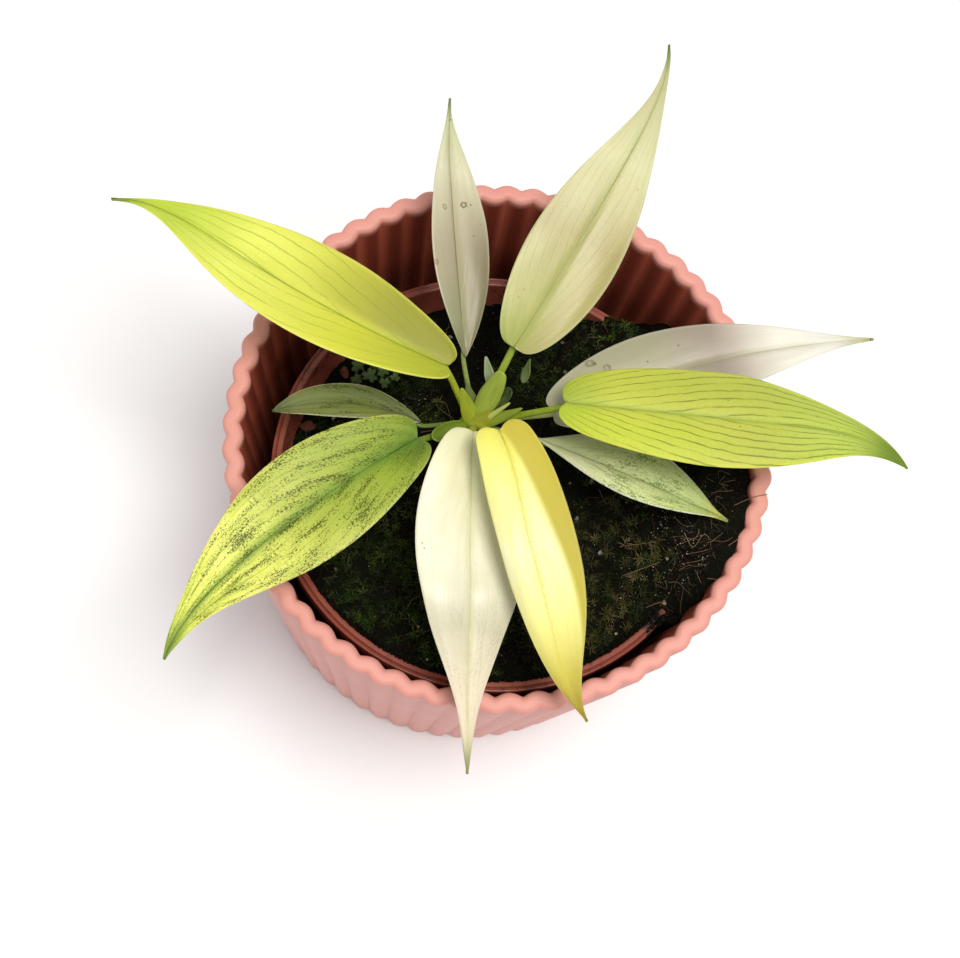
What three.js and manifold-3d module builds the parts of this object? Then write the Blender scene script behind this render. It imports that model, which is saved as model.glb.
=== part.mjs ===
// A young Florida Ghost philodendron in its nursery pot, standing in a fluted cover pot.
// Millimetres and degrees, +Z up, +Y away from the viewer.
// The origin is the centre of the cover pot's underside.
import * as THREE from 'three'
import { mergeVertices } from 'three/addons/utils/BufferGeometryUtils.js'
import Module from 'manifold-3d'

const wasm = await Module()
wasm.setup()

// Clearance kept between pieces that touch.
const GAP = 0.3

// Cover pot: a round wall of constant thickness that follows a wave of 60 flutes.
const POT_HEIGHT = 115
const POT_RIM_RADIUS = 67.5
const POT_TAPER = 3.1
const POT_WALL = 4.1
const POT_FLOOR = 3
const FLUTES = 60
const FLUTE_DEPTH = 1.12
const STEPS_PER_FLUTE = 6
const LIP_ROUNDING = 1.0

// Nursery pot: a thin round pot with a thicker banded lip. It leans, with its lip against the front wall.
const NURSERY_RIM_RADIUS = 56
const NURSERY_BASE_RADIUS = 42
const NURSERY_BODY_TOP_RADIUS = 53.4
const NURSERY_WALL = 1.3
const NURSERY_LIP = 2.6
const NURSERY_BAND = 5.5
const NURSERY_STEP = 1
const NURSERY_TUCK = 3
const NURSERY_LIP_ROUNDING = 0.7
const NURSERY_LEAN = 5
const NURSERY_LEAN_HEADING = 100
const NURSERY_RIM_CENTRE = [1.3, -4.65, -17]
const DRAIN_HOLES = 6
const DRAIN_RADIUS = 4
const DRAIN_RING = 28
const ROUND_SEGMENTS = 60

// Potting mix: below the nursery lip on the left and at the back, heaped over it on the right.
// The sector lists the azimuths where the heap starts, is full, starts to fall and ends.
// In the spill the mix also fills the gap between the pots, and slumps down it towards the far end.
const MIX_DROP = 3.5
const MIX_LEAST_DROP = 1.8
const MIX_TILT = [-0.14, 0.06]
const MIX_HEAP = 10
const MIX_HEAP_RADII = [24, 57]
const MIX_SECTOR = [-30, -5, 60, 84]
const MIX_SPILL = [-25, 80]
const MIX_SPILL_DEPTH = 42
const MIX_SLUMP = 26
const MIX_SLUMP_AZIMUTHS = [46, 80]
const MIX_SLUMP_RADII = [50, 58]
const MIX_COLLAR_HEIGHT = 6
const MIX_COLLAR_SPREAD = 17
const MIX_ROUGHNESS = 0.55
const MIX_RING_RADII = [63, 59, 55, 51, 44, 36, 28, 20, 11]
const MIX_SEGMENTS = 54

// Stem: a short stub in the mix. Its top is where the petioles leave it.
const CROWN = [-7.4, 1.3, -3]
const STUB_RADIUS = 4
const STUB_FOOT = -40
const PETIOLE_RADIUS = 1.25
const PETIOLE_SIDES = 7
const PETIOLE_STEPS = 9
const PETIOLE_SPREAD = 0.3
const PETIOLE_LIFT = 0.42
const PETIOLE_LEAD = 6
const PETIOLE_SAG = 0.1
const PETIOLE_UNDERLAP = 1.5

// Blades: a lance shape along an arched midrib, in a thin sheet.
const BLADE_THICKNESS = 0.8
const BLADE_STATIONS = [0, 0.012, 0.04, 0.09, 0.17, 0.28, 0.4, 0.52, 0.64, 0.75, 0.84, 0.91, 0.96, 1]
const BLADE_STRIPS = [-1, -0.55, 0, 0.55, 1]
const BLADE_END_HALF_WIDTH = 0.35
const MIDRIB_STEPS = 80
const DIP_LATENESS = 1.3
const HOOK_START = 0.6
const TIP_REACH = 0.5
const LOBE_REACH = 0.06

// One record for each leaf. base is the blade's foot, measured from the centre of the cover pot's rim.
// heading is the way it points, sweep and hook turn it sideways along its length and near its tip,
// rise and dip are its slope at the foot and at the tip, roll and fold turn the whole blade and its halves.
// blunt, taper and skew shape the outline, drip is the width of the long tip,
// and lobe is how far the foot reaches back beside the petiole.
const LEAVES = [
  { name: 'leaf_upper_left', colour: '#cdd452', base: [-17.5, 3.5, 23], heading: 166.5, sweep: -27, hook: 36,
    length: 92.5, width: 26, rise: 8, dip: -24, roll: 13, fold: 16,
    blunt: 0.2, taper: 1.9, skew: 2.3, drip: 0.2, lobe: 6 },
  { name: 'leaf_top', colour: '#cfc9b4', base: [-14.5, 11, 13], heading: 114.5, sweep: -6, hook: -5,
    length: 65, width: 16.5, rise: 16, dip: -6, roll: 25, fold: 20,
    blunt: 0.85, taper: 1.7, skew: 1.2, drip: 0.25, lobe: 1.5 },
  { name: 'leaf_upper_right', colour: '#dfdcb4', base: [-4.5, 17, 15], heading: 80.5, sweep: 8, hook: 21,
    length: 86.5, width: 22.5, rise: 20, dip: -8, roll: 12, fold: 0,
    blunt: 0.2, taper: 2.4, skew: 2.1, drip: 0.25, lobe: 2 },
  { name: 'leaf_right_back', colour: '#e6e0cf', base: [10, 7.5, 9.5], heading: 34, sweep: -15, hook: 1,
    length: 82, width: 21, rise: 8, dip: -9, roll: -6, fold: 6,
    blunt: 0.35, taper: 1.6, skew: 1.5, drip: 0.45, lobe: 6 },
  { name: 'leaf_right', colour: '#c9d24a', base: [11.5, 6, 21], heading: 16.5, sweep: 11, hook: -37,
    length: 86.5, width: 23, rise: 12, dip: -28, roll: -12, fold: -2,
    blunt: 0.2, taper: 1.8, skew: 2.4, drip: 0.7, lobe: 6 },
  { name: 'leaf_lower_right', colour: '#bcc79a', base: [7.5, 1, 4], heading: -2.5, sweep: -1, hook: 1,
    length: 51, width: 17.5, rise: 5, dip: -12, roll: -18, fold: 22,
    blunt: 1.6, taper: 1.5, skew: 0.9, drip: 0.65, lobe: 0.5 },
  { name: 'leaf_front_right', colour: '#efe860', base: [-1, -7, 24], heading: -56.5, sweep: -21, hook: 34,
    length: 70.5, width: 18.5, rise: 8, dip: -36, roll: -12, fold: -13,
    blunt: 0.1, taper: 1.8, skew: 3.5, drip: 0.5, lobe: 8 },
  { name: 'leaf_front', colour: '#ece8cf', base: [-6.5, -7, 15], heading: -70.5, sweep: 3, hook: 0,
    length: 78.5, width: 25.5, rise: 4, dip: -24, roll: -12, fold: -1,
    blunt: 0.2, taper: 2.9, skew: 2.6, drip: 0.45, lobe: 5 },
  { name: 'leaf_lower_left', colour: '#b9c95a', base: [-18.5, -12.5, 13], heading: -120, sweep: 13, hook: 20,
    length: 77.5, width: 25, rise: 10, dip: -22, roll: -1, fold: 14,
    blunt: 0.2, taper: 2.1, skew: 2.4, drip: 0.6, lobe: 6 },
  { name: 'leaf_left_small', colour: '#94a878', base: [-19.5, -5, 3], heading: -164.5, sweep: 40, hook: 0,
    length: 36.5, width: 9.5, rise: 2, dip: -12, roll: 9, fold: 16,
    blunt: 1.5, taper: 0.9, skew: 0.7, drip: 0.35, lobe: 2.5 },
]

// Sheaths and scale leaves at the crown: foot and tip measured from the rim centre, then width and thickness.
const SHEATHS = [
  { foot: [-6.5, 2, -1], tip: [-2.5, 11, 9], width: 6.4, thickness: 2.6 },
  { foot: [-8.5, 1.5, -1], tip: [-17, -4.5, 3.5], width: 4.4, thickness: 3 },
  { foot: [-8.5, 2.5, -1], tip: [-13.5, 5.5, 9.5], width: 4, thickness: 2.8 },
  { foot: [-8, 3, -3], tip: [-4, 17, 3], width: 2.8, thickness: 1.4 },
  { foot: [-5, 3, -4], tip: [3.5, 15, -1], width: 5.5, thickness: 1.6 },
  { foot: [-6.5, 1, 1], tip: [0.5, 5, 6], width: 1.8, thickness: 1.4 },
]

const FULL_TURN = Math.PI * 2
const radians = THREE.MathUtils.degToRad
const group = new THREE.Group()

function place(name, geometry, colour, roughness) {
  const material = new THREE.MeshStandardMaterial({ color: colour, roughness, metalness: 0 })
  const mesh = new THREE.Mesh(geometry, material)
  mesh.name = name
  group.add(mesh)
}

function smoothstep(low, high, value) {
  return THREE.MathUtils.smoothstep(value, low, high)
}

// Solids for joining and cutting, and back to a geometry.
function toSolid(geometry) {
  const bare = geometry.clone()
  bare.deleteAttribute('normal')
  bare.deleteAttribute('uv')
  const merged = mergeVertices(bare, 1e-4)
  const vertProperties = Float32Array.from(merged.attributes.position.array)
  const triVerts = Uint32Array.from(merged.index.array)
  return new wasm.Manifold(new wasm.Mesh({ numProp: 3, vertProperties, triVerts }))
}

function toGeometry(solid) {
  const mesh = solid.getMesh()
  const geometry = new THREE.BufferGeometry()
  const points = new Float32Array(mesh.numVert * 3)
  for (let i = 0; i < mesh.numVert; i++) {
    for (let k = 0; k < 3; k++) points[i * 3 + k] = mesh.vertProperties[i * mesh.numProp + k]
  }
  geometry.setAttribute('position', new THREE.BufferAttribute(points, 3))
  geometry.setIndex(new THREE.BufferAttribute(Uint32Array.from(mesh.triVerts), 1))
  geometry.computeVertexNormals()
  return geometry
}

function toSkin(points, index) {
  const geometry = new THREE.BufferGeometry()
  const flat = points.flatMap((point) => [point.x, point.y, point.z])
  geometry.setAttribute('position', new THREE.Float32BufferAttribute(flat, 3))
  geometry.setIndex(index)
  geometry.computeVertexNormals()
  return geometry
}

// A closed skin through rings of points, each ring counter-clockwise seen from above, from foot to head.
// The first ring closes on the foot point and the last on the head point.
function skinRings(rings, foot, head) {
  const count = rings[0].length
  const points = [foot, ...rings.flat(), head]
  const index = []
  const at = (ring, k) => 1 + ring * count + (k % count)
  for (let k = 0; k < count; k++) index.push(0, at(0, k + 1), at(0, k))
  for (let ring = 0; ring < rings.length - 1; ring++) {
    for (let k = 0; k < count; k++) {
      index.push(at(ring, k), at(ring, k + 1), at(ring + 1, k + 1))
      index.push(at(ring, k), at(ring + 1, k + 1), at(ring + 1, k))
    }
  }
  const last = rings.length - 1
  for (let k = 0; k < count; k++) index.push(at(last, k), at(last, k + 1), points.length - 1)
  return toSkin(points, index)
}

// Cover pot. A ring of the wall lies at a distance from the wall's wavy centre line, at a height.
const CENTRE_LINE_RADIUS = POT_RIM_RADIUS - POT_WALL / 2 - FLUTE_DEPTH / 2

function centreLineRadius(height) {
  return CENTRE_LINE_RADIUS - (POT_HEIGHT - height) * Math.tan(radians(POT_TAPER))
}

function wallRing(offset, height) {
  const ring = []
  const samples = FLUTES * STEPS_PER_FLUTE
  for (let k = 0; k < samples; k++) {
    const angle = (k / samples) * FULL_TURN
    const radius = centreLineRadius(height) + (FLUTE_DEPTH / 2) * Math.cos(FLUTES * angle)
    const slope = (-FLUTE_DEPTH / 2) * FLUTES * Math.sin(FLUTES * angle)
    const outward = new THREE.Vector2(radius, -slope).normalize().rotateAround(new THREE.Vector2(), angle)
    const x = radius * Math.cos(angle) + offset * outward.x
    const y = radius * Math.sin(angle) + offset * outward.y
    ring.push(new THREE.Vector3(x, y, height))
  }
  return ring
}

function coverPot() {
  const half = POT_WALL / 2
  const shoulder = POT_HEIGHT - LIP_ROUNDING
  const rings = [
    wallRing(half, 0),
    wallRing(half, shoulder),
    wallRing(half - LIP_ROUNDING, POT_HEIGHT),
    wallRing(-half + LIP_ROUNDING, POT_HEIGHT),
    wallRing(-half, shoulder),
    wallRing(-half, POT_FLOOR),
  ]
  return skinRings(rings, new THREE.Vector3(0, 0, 0), new THREE.Vector3(0, 0, POT_FLOOR))
}

place('cover_pot', coverPot(), '#e9a294', 0.55)

// The smooth space inside the flutes, for what fills the pot.
function potInterior() {
  const lobeInset = POT_WALL / 2 + FLUTE_DEPTH / 2 + GAP
  const low = centreLineRadius(POT_FLOOR) - lobeInset
  const high = centreLineRadius(POT_HEIGHT) - lobeInset
  const profile = [[0, POT_FLOOR + GAP], [low, POT_FLOOR + GAP], [high, POT_HEIGHT], [0, POT_HEIGHT]]
  return lathe(profile, ROUND_SEGMENTS)
}

function lathe(profile, segments) {
  const geometry = new THREE.LatheGeometry(profile.map(([r, z]) => new THREE.Vector2(r, z)), segments)
  return geometry.rotateX(Math.PI / 2)
}

// Nursery pot. Its own axis starts at the centre of its base and leans as it stands in the cover pot.
const lean = radians(NURSERY_LEAN)
const leanHeading = radians(NURSERY_LEAN_HEADING)
const nurseryAxis = new THREE.Vector3(
  Math.sin(lean) * Math.cos(leanHeading), Math.sin(lean) * Math.sin(leanHeading), Math.cos(lean))
const rimCentre = new THREE.Vector3(...NURSERY_RIM_CENTRE).add(new THREE.Vector3(0, 0, POT_HEIGHT))
const lowestEdge = POT_FLOOR + GAP
const NURSERY_HEIGHT = (rimCentre.z - lowestEdge - NURSERY_BASE_RADIUS * Math.sin(lean)) / Math.cos(lean)
const nurseryTurn = new THREE.Quaternion().setFromUnitVectors(new THREE.Vector3(0, 0, 1), nurseryAxis)
const nurseryFoot = rimCentre.clone().addScaledVector(nurseryAxis, -NURSERY_HEIGHT)
const nurseryPlace = new THREE.Matrix4().compose(nurseryFoot, nurseryTurn, new THREE.Vector3(1, 1, 1))

function nurseryProfile(grow) {
  const top = NURSERY_HEIGHT
  const band = top - NURSERY_BAND
  const rim = NURSERY_RIM_RADIUS + grow
  const inside = NURSERY_RIM_RADIUS - NURSERY_LIP - grow
  const body = NURSERY_BODY_TOP_RADIUS
  const round = NURSERY_LIP_ROUNDING
  return [
    [0, -grow], [NURSERY_BASE_RADIUS + grow, -grow], [body + grow, band - NURSERY_STEP - grow],
    [rim, band - grow], [rim, top - round], [rim - round, top + grow],
    [inside + round, top + grow], [inside, top - round], [inside, band],
    [body - NURSERY_WALL - grow, band - NURSERY_TUCK],
    [NURSERY_BASE_RADIUS - NURSERY_WALL - grow, NURSERY_WALL + grow], [0, NURSERY_WALL + grow],
  ]
}

function nurseryPot() {
  let solid = toSolid(lathe(nurseryProfile(0), ROUND_SEGMENTS))
  for (let k = 0; k < DRAIN_HOLES; k++) {
    const angle = (k / DRAIN_HOLES) * FULL_TURN
    const hole = new THREE.CylinderGeometry(DRAIN_RADIUS, DRAIN_RADIUS, 8, 12).rotateX(Math.PI / 2)
    hole.translate(DRAIN_RING * Math.cos(angle), DRAIN_RING * Math.sin(angle), 0)
    solid = solid.subtract(toSolid(hole))
  }
  return toGeometry(solid).applyMatrix4(nurseryPlace)
}

place('nursery_pot', nurseryPot(), '#7d4130', 0.42)

// Potting mix. Its surface is measured from the plane of the nursery lip.
function sectorWeight(azimuth) {
  const [start, full, fall, end] = MIX_SECTOR
  return smoothstep(start, full, azimuth) * (1 - smoothstep(fall, end, azimuth))
}

function mixSurface(x, y) {
  const away = nurseryAxis.x * (x - rimCentre.x) + nurseryAxis.y * (y - rimCentre.y)
  const lipPlane = rimCentre.z - away / nurseryAxis.z
  const azimuth = THREE.MathUtils.radToDeg(Math.atan2(y, x))
  const radius = Math.hypot(x, y)
  const weight = sectorWeight(azimuth)
  const drop = MIX_DROP + MIX_TILT[0] * x + MIX_TILT[1] * y
  const below = THREE.MathUtils.lerp(Math.max(drop, MIX_LEAST_DROP), drop, weight)
  const heap = MIX_HEAP * weight * smoothstep(...MIX_HEAP_RADII, radius)
  const slumpWeight = smoothstep(...MIX_SLUMP_AZIMUTHS, azimuth) * smoothstep(...MIX_SLUMP_RADII, radius)
  const fromStem = Math.hypot(x - CROWN[0], y - CROWN[1])
  const collar = MIX_COLLAR_HEIGHT * Math.exp(-((fromStem / MIX_COLLAR_SPREAD) ** 2))
  const crumbs = Math.sin(x * 0.31 + 1.3) * Math.cos(y * 0.27) + 0.6 * Math.sin(x * 0.62 - y * 0.55)
  return lipPlane - below + heap - MIX_SLUMP * slumpWeight + collar + MIX_ROUGHNESS * crumbs
}

function mixHeap() {
  const ring = (radius, height) => Array.from({ length: MIX_SEGMENTS }, (_, k) => {
    const angle = (k / MIX_SEGMENTS) * FULL_TURN
    const x = radius * Math.cos(angle)
    const y = radius * Math.sin(angle)
    return new THREE.Vector3(x, y, height ?? mixSurface(x, y))
  })
  const rings = [ring(MIX_RING_RADII[0], 0), ...MIX_RING_RADII.map((radius) => ring(radius))]
  return skinRings(rings, new THREE.Vector3(0, 0, 0), new THREE.Vector3(0, 0, mixSurface(0, 0)))
}

// The space that the mix may fill: the inside of the nursery pot, and the sector where it spills
// over the lip.
function nurseryInside() {
  const mouth = NURSERY_RIM_RADIUS - NURSERY_LIP
  const top = NURSERY_HEIGHT + MIX_HEAP + GAP
  const within = NURSERY_WALL / 2
  const profile = [[0, within], [NURSERY_BASE_RADIUS - within, within],
    [mouth, NURSERY_HEIGHT - NURSERY_BAND], [mouth, top], [0, top]]
  return lathe(profile, ROUND_SEGMENTS).applyMatrix4(nurseryPlace)
}

function spillSector() {
  const outline = new THREE.Shape()
  const reach = POT_RIM_RADIUS * 1.3
  const corners = 6
  outline.moveTo(reach * 0.2, reach * 0.07)
  for (let k = 0; k <= corners; k++) {
    const angle = radians(THREE.MathUtils.lerp(...MIX_SPILL, k / corners))
    outline.lineTo(reach * Math.cos(angle), reach * Math.sin(angle))
  }
  const prism = new THREE.ExtrudeGeometry(outline, { depth: MIX_SPILL_DEPTH, bevelEnabled: false })
  return prism.translate(0, 0, POT_HEIGHT - MIX_SPILL_DEPTH)
}

function pottingMix() {
  const shell = lathe(nurseryProfile(GAP), ROUND_SEGMENTS).applyMatrix4(nurseryPlace)
  const holeRadius = STUB_RADIUS + GAP * 1.35
  const holeDepth = -STUB_FOOT + GAP
  const hole = new THREE.CylinderGeometry(holeRadius, holeRadius, holeDepth, 16).rotateX(Math.PI / 2)
  hole.translate(CROWN[0], CROWN[1], POT_HEIGHT - holeDepth / 2)
  const room = toSolid(nurseryInside()).add(toSolid(spillSector()))
  const solid = toSolid(mixHeap()).intersect(toSolid(potInterior())).intersect(room)
  return toGeometry(solid.subtract(toSolid(shell)).subtract(toSolid(hole)))
}

place('potting_mix', pottingMix(), '#2a2118', 0.95)

// Leaf blades. The midrib is walked in small steps, then read at any share t of its length.
function midrib(leaf) {
  const points = [new THREE.Vector3(...leaf.base).add(new THREE.Vector3(0, 0, POT_HEIGHT))]
  for (let k = 0; k < MIDRIB_STEPS; k++) {
    const { along } = bladeAxes(leaf, (k + 0.5) / MIDRIB_STEPS)
    points.push(points[k].clone().addScaledVector(along, leaf.length / MIDRIB_STEPS))
  }
  return points
}

function bladeAxes(leaf, t) {
  const hook = leaf.hook * THREE.MathUtils.clamp((t - HOOK_START) / (1 - HOOK_START), 0, 1) ** 2
  const heading = radians(leaf.heading + leaf.sweep * (t - 0.5) + hook)
  const slope = radians(leaf.rise + (leaf.dip - leaf.rise) * t ** DIP_LATENESS)
  const roll = radians(leaf.roll)
  const along = new THREE.Vector3(
    Math.cos(slope) * Math.cos(heading), Math.cos(slope) * Math.sin(heading), Math.sin(slope))
  const level = new THREE.Vector3(-Math.sin(heading), Math.cos(heading), 0)
  const left = level.applyAxisAngle(along, roll)
  const up = new THREE.Vector3().crossVectors(along, left)
  return { along, left, up }
}

// Half width as a share of the greatest: a rounded foot, a widest part before the middle, and a drip tip.
function outline(leaf, t) {
  const u = t ** leaf.skew
  const widest = leaf.blunt / (leaf.blunt + leaf.taper)
  const body = (u ** leaf.blunt * (1 - u) ** leaf.taper) / (widest ** leaf.blunt * (1 - widest) ** leaf.taper)
  const tip = leaf.drip * Math.min((1 - t) / TIP_REACH, 1) * Math.min(1, t / 0.1)
  return Math.cbrt(body ** 3 + tip ** 3)
}

function bladePoint(leaf, points, t, across, lift) {
  const { along, left, up } = bladeAxes(leaf, t)
  const walked = Math.min(t * MIDRIB_STEPS, MIDRIB_STEPS - 1e-6)
  const k = Math.floor(walked)
  const point = points[k].clone().lerp(points[k + 1], walked - k)
  const share = outline(leaf, t)
  const half = Math.max((leaf.width / 2) * share, BLADE_END_HALF_WIDTH)
  const fold = radians(leaf.fold)
  const lobe = 2 * leaf.lobe * share * Math.exp(-t / LOBE_REACH)
  point.addScaledVector(left, across * half * Math.cos(fold))
  point.addScaledVector(up, Math.abs(across) * half * Math.sin(fold) + lift)
  point.addScaledVector(along, -lobe * Math.abs(across))
  return point
}

// Both faces are split into the same triangles, so the thin sheet never crosses itself.
function blade(leaf) {
  const points = midrib(leaf)
  const rows = BLADE_STATIONS.length
  const columns = BLADE_STRIPS.length
  const vertices = []
  for (const lift of [BLADE_THICKNESS / 2, -BLADE_THICKNESS / 2]) {
    for (const t of BLADE_STATIONS) {
      for (const across of BLADE_STRIPS) vertices.push(bladePoint(leaf, points, t, across, lift))
    }
  }
  const top = (r, c) => r * columns + c
  const under = (r, c) => rows * columns + top(r, c)
  const index = []
  for (let r = 0; r < rows - 1; r++) {
    for (let c = 0; c < columns - 1; c++) {
      index.push(top(r, c), top(r + 1, c), top(r + 1, c + 1))
      index.push(top(r, c), top(r + 1, c + 1), top(r, c + 1))
      index.push(under(r, c), under(r + 1, c + 1), under(r + 1, c))
      index.push(under(r, c), under(r, c + 1), under(r + 1, c + 1))
    }
  }
  const rim = []
  for (let c = 0; c < columns - 1; c++) rim.push([0, c])
  for (let r = 0; r < rows - 1; r++) rim.push([r, columns - 1])
  for (let c = columns - 1; c > 0; c--) rim.push([rows - 1, c])
  for (let r = rows - 1; r > 0; r--) rim.push([r, 0])
  rim.forEach(([r, c], k) => {
    const [nextR, nextC] = rim[(k + 1) % rim.length]
    index.push(top(r, c), top(nextR, nextC), under(nextR, nextC), top(r, c), under(nextR, nextC), under(r, c))
  })
  return toSkin(vertices, index)
}

for (const leaf of LEAVES) place(leaf.name, blade(leaf), leaf.colour, 0.4)

// Stem with its petioles. Each petiole rises from the crown and ends just under its blade's foot.
function petiole(leaf, crown) {
  const { along, up } = bladeAxes(leaf, 0)
  const foot = new THREE.Vector3(...leaf.base).add(new THREE.Vector3(0, 0, POT_HEIGHT))
  foot.addScaledVector(up, -(PETIOLE_RADIUS + BLADE_THICKNESS / 2 + GAP))
  const end = foot.addScaledVector(along, PETIOLE_UNDERLAP)
  const reach = new THREE.Vector3().subVectors(end, crown)
  const start = new THREE.Vector3(reach.x * PETIOLE_SPREAD, reach.y * PETIOLE_SPREAD, reach.z * PETIOLE_LIFT)
  const low = crown.clone().add(start)
  const high = end.clone().addScaledVector(along, -PETIOLE_LEAD)
  high.z -= reach.z * PETIOLE_SAG
  return tube(new THREE.CatmullRomCurve3([crown, low, high, end]), PETIOLE_RADIUS, PETIOLE_STEPS)
}

function tube(route, radius, steps) {
  const section = new THREE.Shape()
  for (let k = 0; k < PETIOLE_SIDES; k++) {
    const angle = (k / PETIOLE_SIDES) * FULL_TURN
    const point = [radius * Math.cos(angle), radius * Math.sin(angle)]
    if (k === 0) section.moveTo(...point)
    else section.lineTo(...point)
  }
  return new THREE.ExtrudeGeometry(section, { steps, bevelEnabled: false, extrudePath: route })
}

// A boat-shaped scale that lies from foot to tip, widest in the middle and facing up.
function sheath({ foot, tip, width, thickness }) {
  const from = new THREE.Vector3(...foot)
  const to = new THREE.Vector3(...tip)
  const along = new THREE.Vector3().subVectors(to, from)
  const across = new THREE.Vector3(-along.y, along.x, 0).normalize()
  const up = new THREE.Vector3().crossVectors(along, across).normalize()
  const size = new THREE.Vector3(along.length() / 2, width / 2, thickness / 2)
  const turn = new THREE.Matrix4().makeBasis(along.clone().normalize(), across, up)
  const middle = from.add(to).multiplyScalar(0.5).add(new THREE.Vector3(0, 0, POT_HEIGHT))
  const geometry = new THREE.SphereGeometry(1, 10, 8).rotateZ(Math.PI / 2)
  return geometry.scale(size.x, size.y, size.z).applyMatrix4(turn.setPosition(middle))
}

function stem() {
  const crown = new THREE.Vector3(...CROWN).add(new THREE.Vector3(0, 0, POT_HEIGHT))
  const foot = POT_HEIGHT + STUB_FOOT
  const narrow = STUB_RADIUS / 2
  const profile = [[0, foot], [STUB_RADIUS, foot], [STUB_RADIUS, crown.z - narrow],
    [STUB_RADIUS - narrow / 2, crown.z + narrow], [0, crown.z + narrow * 1.75]]
  let solid = toSolid(lathe(profile, 14).translate(crown.x, crown.y, 0))
  for (const leaf of LEAVES) solid = solid.add(toSolid(petiole(leaf, crown)))
  for (const scale of SHEATHS) solid = solid.add(toSolid(sheath(scale)))
  return toGeometry(solid)
}

place('stem_and_petioles', stem(), '#8ea63c', 0.45)

export default group
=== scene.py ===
import functools
import math
import random

import bpy
from mathutils import Matrix, Quaternion, Vector, noise
from mathutils.geometry import interpolate_bezier


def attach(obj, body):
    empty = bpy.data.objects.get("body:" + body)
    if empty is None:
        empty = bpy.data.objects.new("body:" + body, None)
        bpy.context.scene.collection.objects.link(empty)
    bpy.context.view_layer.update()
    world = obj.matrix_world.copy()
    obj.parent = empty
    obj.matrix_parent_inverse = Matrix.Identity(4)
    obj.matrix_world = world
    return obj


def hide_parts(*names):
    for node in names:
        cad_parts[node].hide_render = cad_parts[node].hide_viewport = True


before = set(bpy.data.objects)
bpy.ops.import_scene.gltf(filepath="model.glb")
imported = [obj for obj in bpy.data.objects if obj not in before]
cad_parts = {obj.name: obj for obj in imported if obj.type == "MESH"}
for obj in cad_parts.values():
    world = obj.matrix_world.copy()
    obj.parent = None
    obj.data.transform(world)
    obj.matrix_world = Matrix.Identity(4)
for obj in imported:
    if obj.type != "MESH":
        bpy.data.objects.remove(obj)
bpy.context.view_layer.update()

# Cover pot. A round pot of coral-pink polypropylene, injection moulded in one piece with a satin-matt skin.
# Its wall keeps one thickness and runs in 60 flutes from the foot to the rounded lip, inside and out.
MM = 0.001
FULL_TURN = 2 * math.pi
POT_HEIGHT = 115 * MM
POT_RIM_RADIUS = 67.5 * MM
POT_TAPER = math.radians(3.1)
POT_WALL = 4.1 * MM
POT_FLOOR = 3 * MM
FLUTES = 60
FLUTE_DEPTH = 1.12 * MM
STEPS_PER_FLUTE = 14
POT_LIP_ROUNDING = 1.5 * MM
POT_FOOT_ROUNDING = 0.8 * MM
POT_FLOOR_FILLET = 3 * MM
POT_WALL_RINGS = 8
CENTRE_LINE_RADIUS = POT_RIM_RADIUS - POT_WALL / 2 - FLUTE_DEPTH / 2


def linear(hex_colour):
    """A colour written as sRGB, turned linear."""
    channels = [int(hex_colour[k : k + 2], 16) / 255 for k in (1, 3, 5)]
    bright = [c / 12.92 if c <= 0.04045 else ((c + 0.055) / 1.055) ** 2.4 for c in channels]
    return (*bright, 1.0)


def fill_sockets(node, sources):
    """Links each socket to the output that it reads, or sets it directly to its number or colour."""
    for socket, source in sources.items():
        if isinstance(source, bpy.types.Node):
            source = source.outputs[0]
        if isinstance(source, bpy.types.NodeSocket):
            node.id_data.links.new(source, node.inputs[socket])
        else:
            node.inputs[socket].default_value = source


def add_node(tree, kind, *ordered, **named):
    """Adds one node. Its sockets come in their order or by a capitalised name, and its settings by name."""
    node = tree.nodes.new("ShaderNode" + kind)
    for setting in [name for name in named if name.islower()]:
        setattr(node, setting, named.pop(setting))
    fill_sockets(node, {**dict(enumerate(ordered)), **named})
    return node


def new_material(name):
    """A material, its Principled shader, and the function that adds a node to it."""
    material = bpy.data.materials.new(name)
    material.use_nodes = True
    tree = material.node_tree
    return material, tree.nodes["Principled BSDF"], functools.partial(add_node, tree)


def centre_line_radius(height):
    return CENTRE_LINE_RADIUS - (POT_HEIGHT - height) * math.tan(POT_TAPER)


def flute_point(turn, offset, height):
    """A point at a distance from the wall's wavy centre line, measured square to it."""
    angle = turn * FULL_TURN
    radius = centre_line_radius(height) + FLUTE_DEPTH / 2 * math.cos(FLUTES * angle)
    slope = -FLUTE_DEPTH / 2 * FLUTES * math.sin(FLUTES * angle)
    outward = Vector((radius, -slope, 0)).normalized()
    point = Vector((radius + offset * outward.x, offset * outward.y, height))
    point.rotate(Quaternion((0, 0, 1), angle))
    return point


def shaped_grid(name, columns, rows, place):
    """A grid whose corners are put by place(u, v), with the seams and poles that then meet welded shut."""
    bpy.ops.object.select_all(action="DESELECT")
    bpy.ops.mesh.primitive_grid_add(x_subdivisions=columns, y_subdivisions=rows, size=2)
    piece = bpy.context.object
    piece.name = name
    piece.data.name = name
    for corner in piece.data.vertices:
        corner.co = place((corner.co.x + 1) / 2, (corner.co.y + 1) / 2)
    bpy.ops.object.mode_set(mode="EDIT")
    bpy.ops.mesh.select_all(action="SELECT")
    bpy.ops.mesh.remove_doubles(threshold=0.002 * MM)
    bpy.ops.mesh.normals_make_consistent(inside=False)
    bpy.ops.object.mode_set(mode="OBJECT")
    bpy.ops.object.shade_smooth()
    return piece


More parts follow.
